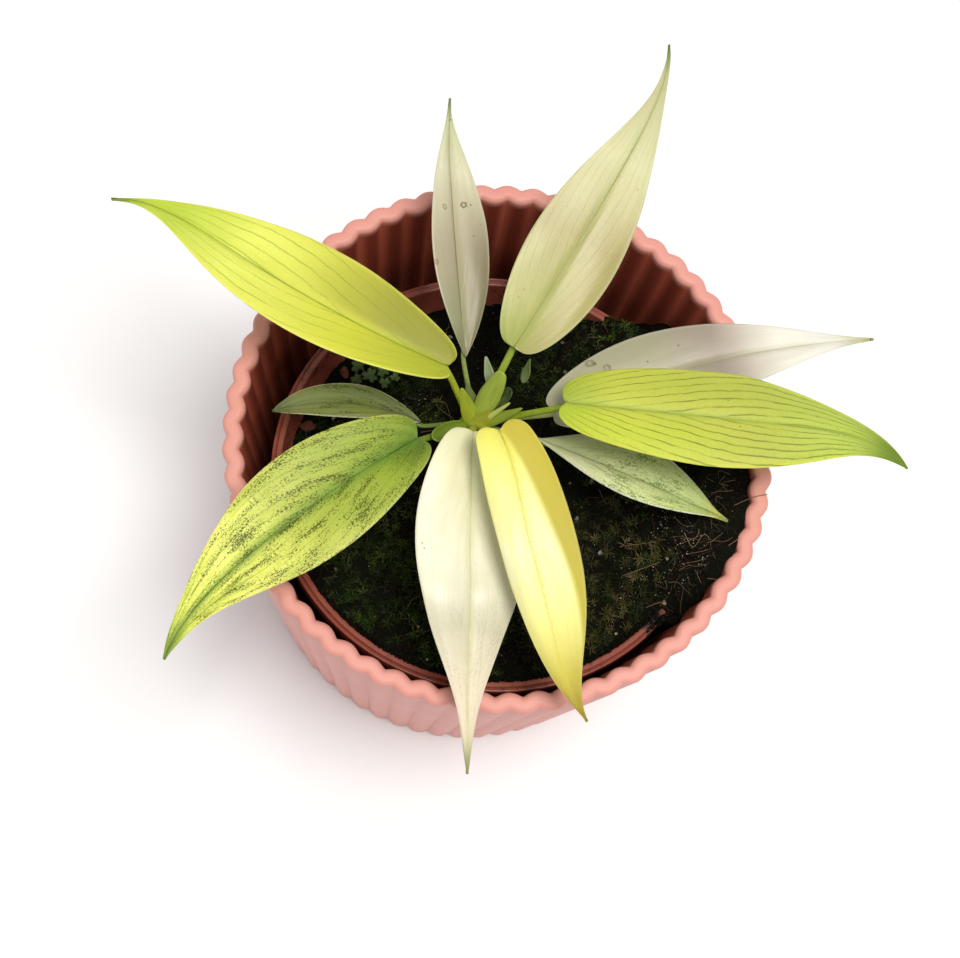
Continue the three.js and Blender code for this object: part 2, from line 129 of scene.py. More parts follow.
def arc(centre, radius, start, end, steps):
    """Points on a round corner of a profile, with angles in degrees."""
    angles = [math.radians(start + (end - start) * k / steps) for k in range(steps + 1)]
    return [(centre[0] + radius * math.cos(a), centre[1] + radius * math.sin(a)) for a in angles]


def cover_pot_profile():
    """Pairs of offset from the centre line and height, from the foot over the lip to the floor."""
    half = POT_WALL / 2
    foot = arc((half - POT_FOOT_ROUNDING, POT_FOOT_ROUNDING), POT_FOOT_ROUNDING, -90, 0, 3)
    shoulder = POT_HEIGHT - POT_LIP_ROUNDING
    outer_lip = arc((half - POT_LIP_ROUNDING, shoulder), POT_LIP_ROUNDING, 0, 90, 6)
    inner_lip = arc((POT_LIP_ROUNDING - half, shoulder), POT_LIP_ROUNDING, 90, 180, 6)
    inner_foot = POT_FLOOR + POT_FLOOR_FILLET
    fillet = arc((-half - POT_FLOOR_FILLET, inner_foot), POT_FLOOR_FILLET, 0, -90, 4)
    walls = []
    for offset, low, high in ((half, foot[-1][1], shoulder), (-half, shoulder, inner_foot)):
        steps = [low + (high - low) * k / POT_WALL_RINGS for k in range(1, POT_WALL_RINGS)]
        walls.append([(offset, height) for height in steps])
    return [*foot, *walls[0], *outer_lip, *inner_lip, *walls[1], *fillet]


pot_profile = cover_pot_profile()
pot_rings = len(pot_profile) + 3


def cover_pot_point(u, v):
    """The two end rings on each side close the underside and the floor towards the middle."""
    ring = round(v * pot_rings) - 2
    offset, height = pot_profile[min(max(ring, 0), len(pot_profile) - 1)]
    point = flute_point(u % 1, offset, height)
    inward = {-2: 0, -1: 0.6, len(pot_profile): 0.6, len(pot_profile) + 1: 0}.get(ring, 1)
    return Vector((point.x * inward, point.y * inward, height))


cover_pot = shaped_grid("cover_pot_finish", FLUTES * STEPS_PER_FLUTE, pot_rings, cover_pot_point)

# Coral polypropylene, moulded against a fine matt tool: a soft broad sheen, faint cloudy pigment, and tiny
# pits that only show where light grazes the lip. Inside, below the lip, the colour is painted a deeper
# brown-red as shade, darkest on the flutes that bulge inward and on the floor.
coral, shader, node = new_material("coral_polypropylene")
place = node("TexCoord").outputs["Object"]
clouds = node("TexNoise", place, Scale=60, Detail=3)
pigment = node("MixRGB", clouds, linear("#da9b91"), linear("#d08b81"))
split = node("SeparateXYZ", place)
flat_place = node("CombineXYZ", split.outputs[0], split.outputs[1])
from_axis = node("VectorMath", flat_place, operation="LENGTH")
untapered = node("Math", split.outputs[2], -math.tan(POT_TAPER), from_axis.outputs["Value"],
    operation="MULTIPLY_ADD")
well = node("MapRange", untapered, centre_line_radius(0) - 0.3 * MM, centre_line_radius(0) - 1.5 * MM, 0, 1)
low = node("MapRange", split.outputs[2], POT_HEIGHT - 0.8 * MM, POT_HEIGHT - 3.2 * MM, 0, 1)
# The share of painted shade: the inner wall and the floor below the lip.
inside = node("Math", well, low, operation="MULTIPLY")
# Where the painted shade goes darker still: the flutes that bulge inward, and the floor.
groove = node("MapRange", untapered, centre_line_radius(0) - 1.7 * MM, centre_line_radius(0) - 2.5 * MM, 0, 1)
painted_well_shade = node("MixRGB", groove, linear("#b05843"), linear("#7a3222"))
with_painted_shade = node("MixRGB", inside, pigment, painted_well_shade)
pits = node("TexNoise", place, Scale=2500, Detail=2)
skin = node("Bump", Strength=0.12, Distance=0.1 * MM, Height=pits)
fill_sockets(shader, {"Base Color": with_painted_shade, "Normal": skin, "Roughness": 0.52, "IOR": 1.49})
cover_pot.data.materials.append(coral)
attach(cover_pot, "root")
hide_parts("cover_pot")

# Nursery pot. The thin terracotta-brown polypropylene pot that the plant was raised in. Its lip is a
# thicker band with a raised outer bead. It stands loose in the cover pot, pushed to the front and leaning
# five degrees.
NURSERY_RIM_RADIUS = 56 * MM
NURSERY_BASE_RADIUS = 42 * MM
NURSERY_BODY_TOP_RADIUS = 53.4 * MM
NURSERY_WALL = 1.3 * MM
NURSERY_LIP = 2.6 * MM
NURSERY_BAND = 5.5 * MM
NURSERY_BEAD = 0.7 * MM
NURSERY_TUCK = 3 * MM
NURSERY_CREST_ROUNDING = 0.6 * MM
NURSERY_LEAN = math.radians(5)
NURSERY_LEAN_HEADING = math.radians(100)
NURSERY_RIM_CENTRE = Vector((1.3, -4.65, 98)) * MM
NURSERY_COLUMNS = 240
DRAIN_HOLES = 6
DRAIN_RADIUS = 4 * MM
DRAIN_RING = 28 * MM
DRILL_LENGTH = 8 * MM
CLEARANCE = 0.3 * MM

UPRIGHT = Vector((0, 0, 1))


def around(radius, angle, height=0.0):
    """A point at an angle round the upright axis."""
    return Vector((radius * math.cos(angle), radius * math.sin(angle), height))


nursery_axis = around(1, NURSERY_LEAN_HEADING) * math.sin(NURSERY_LEAN) + UPRIGHT * math.cos(NURSERY_LEAN)
lowest_edge = POT_FLOOR + CLEARANCE
nursery_rise = NURSERY_RIM_CENTRE.z - lowest_edge - NURSERY_BASE_RADIUS * math.sin(NURSERY_LEAN)
NURSERY_HEIGHT = nursery_rise / math.cos(NURSERY_LEAN)
nursery_turn = UPRIGHT.rotation_difference(nursery_axis).to_matrix().to_4x4()
nursery_place = Matrix.Translation(NURSERY_RIM_CENTRE - nursery_axis * NURSERY_HEIGHT) @ nursery_turn


def nursery_profile():
    """Pairs of radius and height in the pot's own frame, from under the base over the lip to its floor."""
    top = NURSERY_HEIGHT
    band = top - NURSERY_BAND
    rim = NURSERY_RIM_RADIUS
    inside = rim - NURSERY_LIP
    step = NURSERY_WALL
    bead = arc((rim - NURSERY_BEAD / 2, top - NURSERY_BEAD), NURSERY_BEAD / 2, 0, 150, 6)
    steps_in = ((1.3, 0.9), (1.5, 0.3))
    ledge = [(rim - NURSERY_BEAD * inward, top - NURSERY_BEAD * down) for inward, down in steps_in]
    crest_radius = NURSERY_CREST_ROUNDING
    crest = arc((inside + crest_radius, top - crest_radius), crest_radius, 90, 180, 4)
    return [
        (0, 0), (NURSERY_BASE_RADIUS - step, 0), (NURSERY_BASE_RADIUS, step / 2),
        (NURSERY_BODY_TOP_RADIUS, band - step), (rim - 0.15 * MM, band), (rim, band + 0.3 * MM),
        *bead, *ledge, (rim - NURSERY_BEAD * 1.8, top), *crest, (inside, band),
        (NURSERY_BODY_TOP_RADIUS - step, band - NURSERY_TUCK), (NURSERY_BASE_RADIUS - step, step * 2),
        (NURSERY_BASE_RADIUS - step * 2, step), (0, step),
    ]


nursery_outline = nursery_profile()


def nursery_point(u, v):
    radius, height = nursery_outline[round(v * (len(nursery_outline) - 1))]
    return nursery_place @ around(radius, (u % 1) * FULL_TURN, height)


nursery_pot = shaped_grid("nursery_pot_finish", NURSERY_COLUMNS, len(nursery_outline) - 1, nursery_point)
for k in range(DRAIN_HOLES):
    spot = nursery_place @ around(DRAIN_RING, FULL_TURN * k / DRAIN_HOLES)
    bpy.ops.object.select_all(action="DESELECT")
    bpy.ops.mesh.primitive_cylinder_add(vertices=32, radius=DRAIN_RADIUS, depth=DRILL_LENGTH, location=spot)
    drill = bpy.context.object
    drill.rotation_euler = nursery_turn.to_euler()
    hole = nursery_pot.modifiers.new("drain_hole", "BOOLEAN")
    hole.object = drill
    hole.solver = "EXACT"
    bpy.context.view_layer.objects.active = nursery_pot
    bpy.ops.object.modifier_apply(modifier=hole.name)
    bpy.data.objects.remove(drill)
nursery_pot.select_set(True)
bpy.ops.object.shade_smooth_by_angle(angle=math.radians(35))

# Terracotta-brown polypropylene, thin and thermoformed: glossier than the cover pot, with fine draw lines
# down the wall and a film of dried splashes that dulls it in patches. Wet peat blackens it where the heap
# covers it.
HEAP_ON_LIP = (54.5 * MM, -19 * MM, 0)
terracotta, shader, node = new_material("terracotta_brown_polypropylene")
place = node("TexCoord").outputs["Object"]
film = node("TexNoise", place, Scale=110, Detail=5, Roughness=0.65)
tone = node("MixRGB", film, linear("#9c5244"), linear("#763a2e"))
dirt = node("TexNoise", place, Scale=420, Detail=3)
grime = node("MapRange", dirt, 0.56, 0.72, 0, 0.7)
stained = node("MixRGB", grime, tone, linear("#3a2018"))
level_place = node("VectorMath", place, (1, 1, 0), operation="MULTIPLY")
from_heap = node("VectorMath", level_place, HEAP_ON_LIP, operation="DISTANCE")
ragged = node("Math", dirt, 6 * MM, from_heap.outputs["Value"], operation="MULTIPLY_ADD")
washed = node("MapRange", ragged, 13 * MM, 15.5 * MM, 1, 0)
soiled = node("MixRGB", washed, stained, linear("#0c0906"))
dull = node("MapRange", film, 0.3, 0.7, 0.17, 0.4)
drawn = node("Mapping", place, Scale=(900, 900, 30))
lines = node("TexNoise", drawn, Scale=1, Detail=2)
skin = node("Bump", Strength=0.2, Distance=0.1 * MM, Height=lines)
fill_sockets(shader, {"Base Color": soiled, "Roughness": dull, "Normal": skin, "IOR": 1.49})
nursery_pot.data.materials.append(terracotta)
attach(nursery_pot, "root")
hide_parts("nursery_pot")

# Potting mix. Dark peat with bark crumbs, watered flat. It stays under the nursery pot's lip on the left,
# rises round the stem, and is heaped over the lip on the right, where it slumps down between the two pots.
# Its values are in millimetres and degrees.
MIX_DROP = 3.5
MIX_LEAST_DROP = 1.8
MIX_TILT = (-0.14, 0.06)
MIX_HEAP = 10
MIX_HEAP_RADII = (24, 57)
# The azimuths where the heap starts, is full, starts to fall and ends.
MIX_SECTOR = (-30, -5, 60, 84)
MIX_SPILL = (-25, 80)
MIX_SLUMP = 26
MIX_SLUMP_AZIMUTHS = (46, 80)
MIX_SLUMP_RADII = (50, 58)
MIX_COLLAR_HEIGHT = 6
MIX_COLLAR_SPREAD = 17
MIX_ROUGHNESS = 0.55
MIX_COLUMNS = 420
MIX_ROWS = 84
MIX_SKIRT_ROWS = 3
MIX_SKIRT_DEPTH = 24 * MM
CROWN = Vector((-7.4, 1.3, 112)) * MM

# The size, height and seed of the mix's lumps, crumbs and grit.
MIX_GRAIN = ((5.5, 1.1, 3.1), (2.1, 0.8, 7.7), (0.9, 0.45, 1.9))


def smoothstep(low, high, value):
    share = min(max((value - low) / (high - low), 0), 1)
    return share * share * (3 - 2 * share)


def lip_height(x, y):
    """The height of the plane of the nursery pot's rim. All in millimetres."""
    rim = NURSERY_RIM_CENTRE / MM
    return rim.z - (nursery_axis.x * (x - rim.x) + nursery_axis.y * (y - rim.y)) / nursery_axis.z


def mix_level(x, y):
    """The height of the mix above the underside of the pot. All in millimetres."""
    azimuth = math.degrees(math.atan2(y, x))
    radius = math.hypot(x, y)
    start, full, fall, end = MIX_SECTOR
    weight = smoothstep(start, full, azimuth) * (1 - smoothstep(fall, end, azimuth))
    drop = MIX_DROP + MIX_TILT[0] * x + MIX_TILT[1] * y
    below = max(drop, MIX_LEAST_DROP) * (1 - weight) + drop * weight
    heap = MIX_HEAP * weight * smoothstep(*MIX_HEAP_RADII, radius)
    slump = MIX_SLUMP * smoothstep(*MIX_SLUMP_AZIMUTHS, azimuth) * smoothstep(*MIX_SLUMP_RADII, radius)
    from_stem = math.hypot(x - CROWN.x / MM, y - CROWN.y / MM)
    collar = MIX_COLLAR_HEIGHT * math.exp(-((from_stem / MIX_COLLAR_SPREAD) ** 2))
    crumbs = math.sin(x * 0.31 + 1.3) * math.cos(y * 0.27) + 0.6 * math.sin(x * 0.62 - y * 0.55)
    return lip_height(x, y) - below + heap - slump + collar + MIX_ROUGHNESS * crumbs


def mix_surface(x, y):
    """A point on the mix in metres, with the lumps and crumbs of peat. x and y are in millimetres."""
    level = mix_level(x, y)
    for size, height, seed in MIX_GRAIN:
        level += noise.noise(Vector((x / size, y / size, seed))) * height
    return Vector((x, y, level)) * MM


def mix_edge(azimuth):
    """How far the mix reaches from the axis, in millimetres: to the nursery pot, or to the cover pot."""
    direction = around(1, azimuth)
    mouth = NURSERY_RIM_RADIUS - NURSERY_LIP / 2
    reach = mouth
    for _ in range(6):
        point = direction * reach
        point.z = mix_level(point.x / MM, point.y / MM) * MM
        inward = point - NURSERY_RIM_CENTRE
        inward -= nursery_axis * inward.dot(nursery_axis)
        reach += mouth - inward.length
    spill_start, spill_end = (math.radians(limit) for limit in MIX_SPILL)
    if spill_start < (azimuth + math.pi) % FULL_TURN - math.pi < spill_end:
        for _ in range(3):
            level = mix_level(direction.x * reach / MM, direction.y * reach / MM) * MM
            reach = centre_line_radius(level) - POT_WALL / 2
    return reach / MM


mix_edges = [mix_edge(FULL_TURN * k / MIX_COLUMNS) for k in range(MIX_COLUMNS)]


def mix_point(u, v):
    """The surface from the middle to the wall, then a skirt down the wall that closes underneath."""
    column = round(u * MIX_COLUMNS) % MIX_COLUMNS
    angle = FULL_TURN * column / MIX_COLUMNS
    ring = round(v * (MIX_ROWS + MIX_SKIRT_ROWS))
    share = min(ring / MIX_ROWS, 1) ** 0.75
    reach = mix_edges[column] * share
    point = mix_surface(reach * math.cos(angle), reach * math.sin(angle))
    skirt = ring - MIX_ROWS
    if skirt == 1:
        point.z -= MIX_SKIRT_DEPTH
    elif skirt > 1:
        point = nursery_place @ around(NURSERY_BASE_RADIUS if skirt == 2 else 0, angle, NURSERY_WALL * 1.5)
    return point


mix = shaped_grid("potting_mix_finish", MIX_COLUMNS, MIX_ROWS + MIX_SKIRT_ROWS, mix_point)


def fill_ramp(ramp, stops):
    """Gives a colour ramp its stops, each a place and a colour, of which the first two are its ends."""
    elements = ramp.color_ramp.elements
    for k, (position, colour) in enumerate(stops):
        stop = elements[k] if k < 2 else elements.new(position)
        stop.position = position
        stop.color = linear(colour)


# Damp sphagnum peat: nearly black, with brown crumbs about half a millimetre across. It is wet but so rough
# that it hardly shines.
peat, shader, node = new_material("damp_peat")
place = node("TexCoord").outputs["Object"]
crumb = node("TexVoronoi", place, Scale=1900, Randomness=1)
crumb_tone = node("SeparateColor", crumb.outputs["Color"])
earth = node("ValToRGB", crumb_tone.outputs[0])
fill_ramp(earth, ((0, "#050403"), (1, "#2a2016"), (0.6, "#0b0806"), (0.88, "#17110b")))
green = node("TexNoise", place, Scale=160, Detail=4)
algae = node("MapRange", green, 0.4, 0.6, 0, 0.85)
grown = node("MixRGB", algae, earth, linear("#0c1208"))
grit = node("TexNoise", place, Scale=1300, Detail=5, Roughness=0.7)
rough = node("Bump", Strength=0.8, Distance=0.6 * MM, Height=grit)
fill_sockets(shader, {"Base Color": grown, "Normal": rough, "Roughness": 0.8, "Specular IOR Level": 0.08})
mix.data.materials.append(peat)
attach(mix, "root")
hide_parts("potting_mix")

# Moss. Two kinds have settled on the damp peat: low feathery shoots over the front, the back and the left,
# and taller star-shaped rosettes at the front right. A shoot is a few pointed leaves in whorls up a short
# stem.
FEATHER_SPACING = 1.25
STAR_SPACING = 1.7
FEATHER_MARGIN = 0.3
STAR_MARGIN = 2
FEATHER_SIZES = (0.6, 1.4)
STAR_SIZES = (0.5, 1.15)
MOSS_VARIANTS = 4
MOSS_SINK = 0.4 * MM
MOSS_FLATNESS = 0.45
CUSHION_SIZE = 4.5
MOSS_FIELD = 66

# A whorl is its number of leaves, how far they lean from upright in degrees, their length and width in
# millimetres, and how high it stands.
FEATHER_WHORLS = ((5, 84, 1.5, 0.3, 0.2), (5, 64, 1.4, 0.27, 0.6), (3, 30, 1.1, 0.22, 0.9))
STAR_WHORLS = ((7, 80, 2.3, 0.3, 0.5), (6, 55, 2.1, 0.28, 1), (5, 26, 1.7, 0.25, 1.5))

# A patch is its middle, its radius and how thickly the moss grows there.
FEATHER_PATCHES = (
    (-12, -42, 17, 1), (-27, -28, 14, 0.9), (6, -50, 13, 1), (-40, -10, 10, 0.7), (14, -30, 14, 0.8),
    (-6, -18, 12, 0.5), (2, 30, 11, 0.8), (16, 42, 9, 0.45), (-30, 12, 9, 0.5), (24, 14, 12, 0.6),
    (-22, 7, 6, 0.8), (40, 6, 10, 0.5),
)
STAR_PATCHES = ((30, -14, 11, 0.9), (40, -20, 12, 1), (44, -34, 9, 1), (31, -38, 10, 0.9), (22, -26, 10, 0.7))


def join_pieces(pieces, name):
    bpy.ops.object.select_all(action="DESELECT")
    for piece in pieces:
        piece.select_set(True)
    bpy.context.view_layer.objects.active = pieces[0]
    bpy.ops.object.join()
    bpy.ops.object.transform_apply(location=True, rotation=True, scale=True)
    joined = bpy.context.object
    joined.name = joined.data.name = name
    return joined


def moss_shoot(whorls, draw):
    """One shoot, 4 faces to a leaf, with how far each corner is from the foot of its leaf kept in tone."""
    leaves = []
    for count, lean, length, width, rise in whorls:
        for k in range(count):
            turn = FULL_TURN * (k + draw.uniform(0, 0.6)) / count
            tilt = math.radians(lean + draw.uniform(-12, 12))
            heading = around(math.sin(tilt), turn, math.cos(tilt))
            reach = length * draw.uniform(0.75, 1.2) * MM
            bpy.ops.object.select_all(action="DESELECT")
            bpy.ops.mesh.primitive_cone_add(vertices=3, radius1=width / 2 * MM, radius2=0, depth=reach,
                location=heading * reach / 2 + UPRIGHT * rise * MM, scale=(1, MOSS_FLATNESS, 1),
                rotation=heading.to_track_quat("Z", "Y").to_euler())
            leaf = bpy.context.object
            tones = leaf.data.color_attributes.new("tone", "FLOAT_COLOR", "POINT")
            for corner, tone in zip(leaf.data.vertices, tones.data):
                tone.color = (1 if corner.co.z > 0 else 0, 0, 0, 1)
            leaves.append(leaf)
    return join_pieces(leaves, "moss_shoot")


def growth(patches, x, y):
    """How thickly patches of moss or grit cover a point on the mix, with bare gaps between cushions."""
    thick = 0
    for middle_x, middle_y, radius, strength in patches:
        apart = math.hypot(x - middle_x, y - middle_y) / radius
        thick = max(thick, strength * (1 - smoothstep(0.75, 1.25, apart)))
    cushion = noise.noise(Vector((x / CUSHION_SIZE, y / CUSHION_SIZE, 11.3)))
    return thick * smoothstep(-0.45, -0.1, cushion)


def on_mix(x, y, margin):
    azimuth = math.atan2(y, x) % FULL_TURN
    return math.hypot(x, y) < mix_edges[round(azimuth / FULL_TURN * MIX_COLUMNS) % MIX_COLUMNS] - margin


def spread(spacing, draw, margin, thickness):
    """Spots strewn over the mix about a spacing apart, kept as often as thickness(x, y) says."""
    spots = []
    steps = int(MOSS_FIELD / spacing)
    for column in range(-steps, steps + 1):
        for row in range(-steps, steps + 1):
            x = (column + draw.uniform(-0.5, 0.5)) * spacing
            y = (row + draw.uniform(-0.5, 0.5)) * spacing
            if on_mix(x, y, margin) and draw.random() < thickness(x, y):
                spots.append((x, y))
    return spots


def set_in_mix(name, models, spots, sizes, slant, sink, draw, ground=mix_surface):
    """One mesh of many copies of the models, each turned at random, with its own shade kept in tone."""
    corners, faces, tones = [], [], []
    for x, y in spots:
        model = draw.choice(models).data
        upright = Vector((draw.gauss(0, slant), draw.gauss(0, slant), 1)).to_track_quat("Z", "Y")
        turn = upright @ Quaternion(UPRIGHT, draw.uniform(0, FULL_TURN))
        size = draw.uniform(*sizes)
        foot = ground(x, y) - UPRIGHT * sink
        copy_place = Matrix.LocRotScale(foot, turn, Vector((size, size, size)))
        first = len(corners)
        shade = draw.random()
        # cushion is a broad noise, kept in tone's third channel, that the moss reads as patches of painted
        # shade.
        cushion = 0.5 + 0.5 * noise.noise(Vector((x / 8, y / 8, 4.2)))
        corners += [copy_place @ corner.co for corner in model.vertices]
        faces += [[first + k for k in face.vertices] for face in model.polygons]
        tones += [(tone.color[0], shade, cushion, 1) for tone in model.attributes["tone"].data]
    mesh = bpy.data.meshes.new(name)
    mesh.from_pydata(corners, [], faces)
    kept = mesh.color_attributes.new("tone", "FLOAT_COLOR", "POINT")
    for slot, tone in zip(kept.data, tones):
        slot.color = tone
    piece = bpy.data.objects.new(name, mesh)
    bpy.context.collection.objects.link(piece)
    for model in models:
        bpy.data.objects.remove(model)
    return piece


moss_draw = random.Random(21)
feather_shoots = [moss_shoot(FEATHER_WHORLS, moss_draw) for _ in range(MOSS_VARIANTS)]
feather_spots = spread(FEATHER_SPACING, moss_draw, FEATHER_MARGIN, lambda x, y: growth(FEATHER_PATCHES, x, y))
feather_moss = set_in_mix(
    "feather_moss", feather_shoots, feather_spots, FEATHER_SIZES, slant=0.5, sink=MOSS_SINK, draw=moss_draw)
star_shoots = [moss_shoot(STAR_WHORLS, moss_draw) for _ in range(MOSS_VARIANTS)]
star_spots = spread(STAR_SPACING, moss_draw, STAR_MARGIN, lambda x, y: growth(STAR_PATCHES, x, y))
star_moss = set_in_mix(
    "star_moss", star_shoots, star_spots, STAR_SIZES, slant=0.6, sink=MOSS_SINK, draw=moss_draw)

# Living moss: each leaf runs from near black at its foot, partly its own colour and partly painted shade deep
# in the shoot, to its tip, and broad noise patches are painted darker towards black as shade. The feathery
# kind has dull green leaf tips, and the tips of the star-shaped kind run from olive to straw.
for piece, name, tips in (
    (feather_moss, "living_feather_moss",
        ((0, "#223a0a"), (1, "#94a050"), (0.4, "#3c5c12"), (0.7, "#56761c"), (0.9, "#74902e"))),
    (star_moss, "living_star_moss",
        ((0, "#26340e"), (1, "#c0b07c"), (0.35, "#3e5016"), (0.62, "#666c28"), (0.85, "#98904c"))),
):
    moss, shader, node = new_material(name)
    tone = node("Attribute", attribute_name="tone")
    parts = node("SeparateColor", tone)
    tip = node("ValToRGB", parts.outputs[1])
    fill_ramp(tip, tips)
    # Each leaf runs from near black at its foot to its tip colour: partly its own colour, partly painted
    # shade.
    tip_and_painted_foot_shade = node("MixRGB", parts.outputs[0], linear("#10160a"), tip)
    # Broad noise patches painted darker towards black as shade.
    painted_shade_share = node("MapRange", parts.outputs[2], 0.3, 0.65, 0.75, 0)
    with_painted_shade = node("MixRGB", painted_shade_share, tip_and_painted_foot_shade, linear("#080b04"))
    fill_sockets(shader, {"Base Color": with_painted_shade, "Roughness": 0.5, "Specular IOR Level": 0.2})
    piece.data.materials.append(moss)
    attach(piece, "root")

# Rootlets and dead fibres. Fine brown roots and dry threads of the peat lie on the mix, thickest where it
# is heaped over the lip at the right, and a few long hairs stick out across the cover pot's rim.
STRAND_RADIUS = 0.06 * MM
STRAND_VARIANTS = 6
STRAND_LENGTH = 9
STRAND_CURL = 2.6
STRAND_SPACING = 3.1
TANGLE_SPACING = 1.25

# The middle and radius of the tangle of roots, and of a patch where dry threads lie closer.
TANGLE = (54, -6, 13)
DRY_PATCH = (34, 38, 13)

# A long strand is its radius and the points that it follows, from the centre of the cover pot's rim.
LONG_STRANDS = (
    (0.1, ((52, -13, -6), (56, -11, -3.2), (59.5, -7.5, -1.4), (62.5, -3.6, 0.4))),
    (0.1, ((55, 1, -6), (59.5, 4.8, -2.2), (62.6, 7.4, -0.2), (65.9, 9.4, 0.5))),
    (0.1, ((58, -14.6, -5.4), (61.7, -14.2, -3.2), (64, -14, -2.2))),
    (0.12, ((38, -12, -12), (45, -9, -8), (51, -4, -6), (57, 3, -3))),
    (0.12, ((40, -19, -14), (46, -14.5, -10), (52, -10, -7.4), (58, -6.6, -5))),
    (0.11, ((48.1, -24.2, -15.2), (50.2, -22.6, -13.4), (52, -21.6, -12.6))),
    (0.08, ((-19, 8.6, -21), (-16.4, 6.8, -19), (-13.5, 5.5, -17.6), (-10, 3, -17))),
    (0.06, ((-20.4, 8.5, -21), (-17, 9.5, -19.6), (-14, 5.4, -18), (-12.4, 1, -17.8))),
    (0.12, ((-50, -14, -22), (-47, -18.5, -19.5), (-42, -21, -20), (-38, -26, -22))),
    (0.12, ((-46, -22, -22), (-43, -25, -19.6), (-40, -25.5, -20.4), (-35, -22, -22))),
    (0.1, ((8, -46, -25), (13, -48, -22.6), (18, -46, -22), (24, -49, -23))),
)


def from_rim(point):
    """A point given in millimetres from the centre of the cover pot's rim."""
    return Vector(point) * MM + UPRIGHT * POT_HEIGHT


def smooth_route(points, steps):
    """Points on one smooth curve through all the given points."""
    padded = [points[0] * 2 - points[1], *points, points[-1] * 2 - points[-2]]
    route = [points[0]]
    for before, start, end, after in zip(padded, padded[1:], padded[2:], padded[3:]):
        handles = start + (end - before) / 6, end - (after - start) / 6
        route += interpolate_bezier(start, *handles, end, steps + 1)[1:]
    return route


def paint(piece, tone):
    """Gives a piece its own colour, which stays with it when it is joined to others."""
    colours = piece.data.color_attributes.new("tone", "FLOAT_COLOR", "POINT")
    for corner in colours.data:
        corner.color = tone


def tube(name, route, radii, sides, channel=0):
    """A tube along a route with its own radius at each point, closed at both ends, and channelled on top."""
    route = [route[0], *route, route[-1]]
    radii = [0, *radii, 0]
    side = (route[2] - route[1]).orthogonal().normalized()
    rings = []
    for k, point in enumerate(route):
        ahead = (route[min(k + 1, len(route) - 1)] - route[max(k - 1, 0)]).normalized()
        level = ahead.cross(UPRIGHT)
        side = level if level.length > 0.1 else side - ahead * side.dot(ahead)
        side.normalize()
        rings.append((point, side, side.cross(ahead), radii[k]))

    def place_corner(u, v):
        point, across, up, radius = rings[round(v * (len(rings) - 1))]
        angle = (u % 1) * FULL_TURN
        radius *= 1 - channel * max(math.sin(angle), 0) ** 6
        return point + (across * math.cos(angle) + up * math.sin(angle)) * radius

    return shaped_grid(name, sides, len(rings) - 1, place_corner)


def loose_strand(draw):
    """A curled thread that lies about level, with its middle over the place where it is set."""
    points = []
    for k in range(4):
        along = (k / 3 - 0.5) * STRAND_LENGTH
        points.append(Vector((along, draw.uniform(-1, 1) * STRAND_CURL, 0.5 + draw.uniform(-0.5, 0.9))) * MM)
    route = smooth_route(points, steps=3)
    strand = tube("strand", route, [STRAND_RADIUS] * len(route), sides=3)
    paint(strand, (1, 0, 0, 1))
    return strand


def dry_patch(x, y):
    middle_x, middle_y, radius = DRY_PATCH
    return 1 if math.hypot(x - middle_x, y - middle_y) < radius else 0.45


def tangle(x, y):
    middle_x, middle_y, radius = TANGLE
    apart = math.hypot((x - middle_x) * 1.6, (y - middle_y) * 0.75) / radius
    return 0.75 * (1 - smoothstep(0.5, 1.2, apart))


strand_draw = random.Random(8)
strands = [loose_strand(strand_draw) for _ in range(STRAND_VARIANTS)]
strand_spots = spread(STRAND_SPACING, strand_draw, margin=4, thickness=dry_patch)
strand_spots += spread(TANGLE_SPACING, strand_draw, margin=3, thickness=tangle)
threads = set_in_mix(
    "peat_fibres", strands, strand_spots, sizes=(0.3, 0.9), slant=0.22, sink=0, draw=strand_draw)
long_ones = []
for radius, points in LONG_STRANDS:
    route = smooth_route([from_rim(point) for point in points], steps=8)
    radii = [radius * MM] * (len(route) - 1) + [radius * MM / 3]
    long_ones.append(tube("long_strand", route, radii, sides=6))
    paint(long_ones[-1], (1, 0.88, 0.9, 1))
long_strands = join_pieces(long_ones, "long_roots_and_hairs")

# Dry roots and fibres: matt, from black through red-brown to pale tan at the thinnest.
dry_root, shader, node = new_material("dry_root_fibre")
tone = node("Attribute", attribute_name="tone")
parts = node("SeparateColor", tone)
browns = node("ValToRGB", parts.outputs[1])
fill_ramp(browns, ((0, "#120c08"), (1, "#a08a6c"), (0.5, "#2e2016"), (0.85, "#5e4630")))
fill_sockets(shader, {"Base Color": browns, "Roughness": 0.6, "Specular IOR Level": 0.25})
for piece in (threads, long_strands):
    piece.data.materials.append(dry_root)
    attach(piece, "root")

# Perlite and grit. White crumbs of expanded volcanic glass mixed into the peat, most of them small and
# washed together at the right.
PERLITE_VARIANTS = 5
PERLITE_RADIUS = 0.5 * MM
PERLITE_SPACING = 2.2
PERLITE_SHARE = 0.035
PERLITE_MARGIN = 3
GRIT_SPACING = 0.75
GRIT_SHARE = 0.008
GRIT_RISE = 0.9 * MM

# A patch is its middle, its radius and how thickly the grit lies there.
GRIT_PATCHES = (
    (46, -5, 4.5, 0.6), (51, -11, 6, 0.7), (48, -15, 6, 0.45), (42, -19, 6, 0.2), (-22, 8, 5, 0.25),
)


def crumb_model(draw, cuts):
    """A lumpy round crumb, a little flattened, of 20 faces, or of 80 with a second cut."""
    bpy.ops.object.select_all(action="DESELECT")
    bpy.ops.mesh.primitive_ico_sphere_add(subdivisions=cuts, radius=PERLITE_RADIUS)
    crumb = bpy.context.object
    start = Vector((draw.uniform(0, 9), draw.uniform(0, 9), draw.uniform(0, 9)))
    for corner in crumb.data.vertices:
        swell = 1 + 0.55 * noise.noise(corner.co.normalized() * 1.3 + start)
        corner.co *= swell * (1 - 0.3 * abs(corner.co.normalized().z))
    paint(crumb, (1, 0, 0, 1))
    return crumb


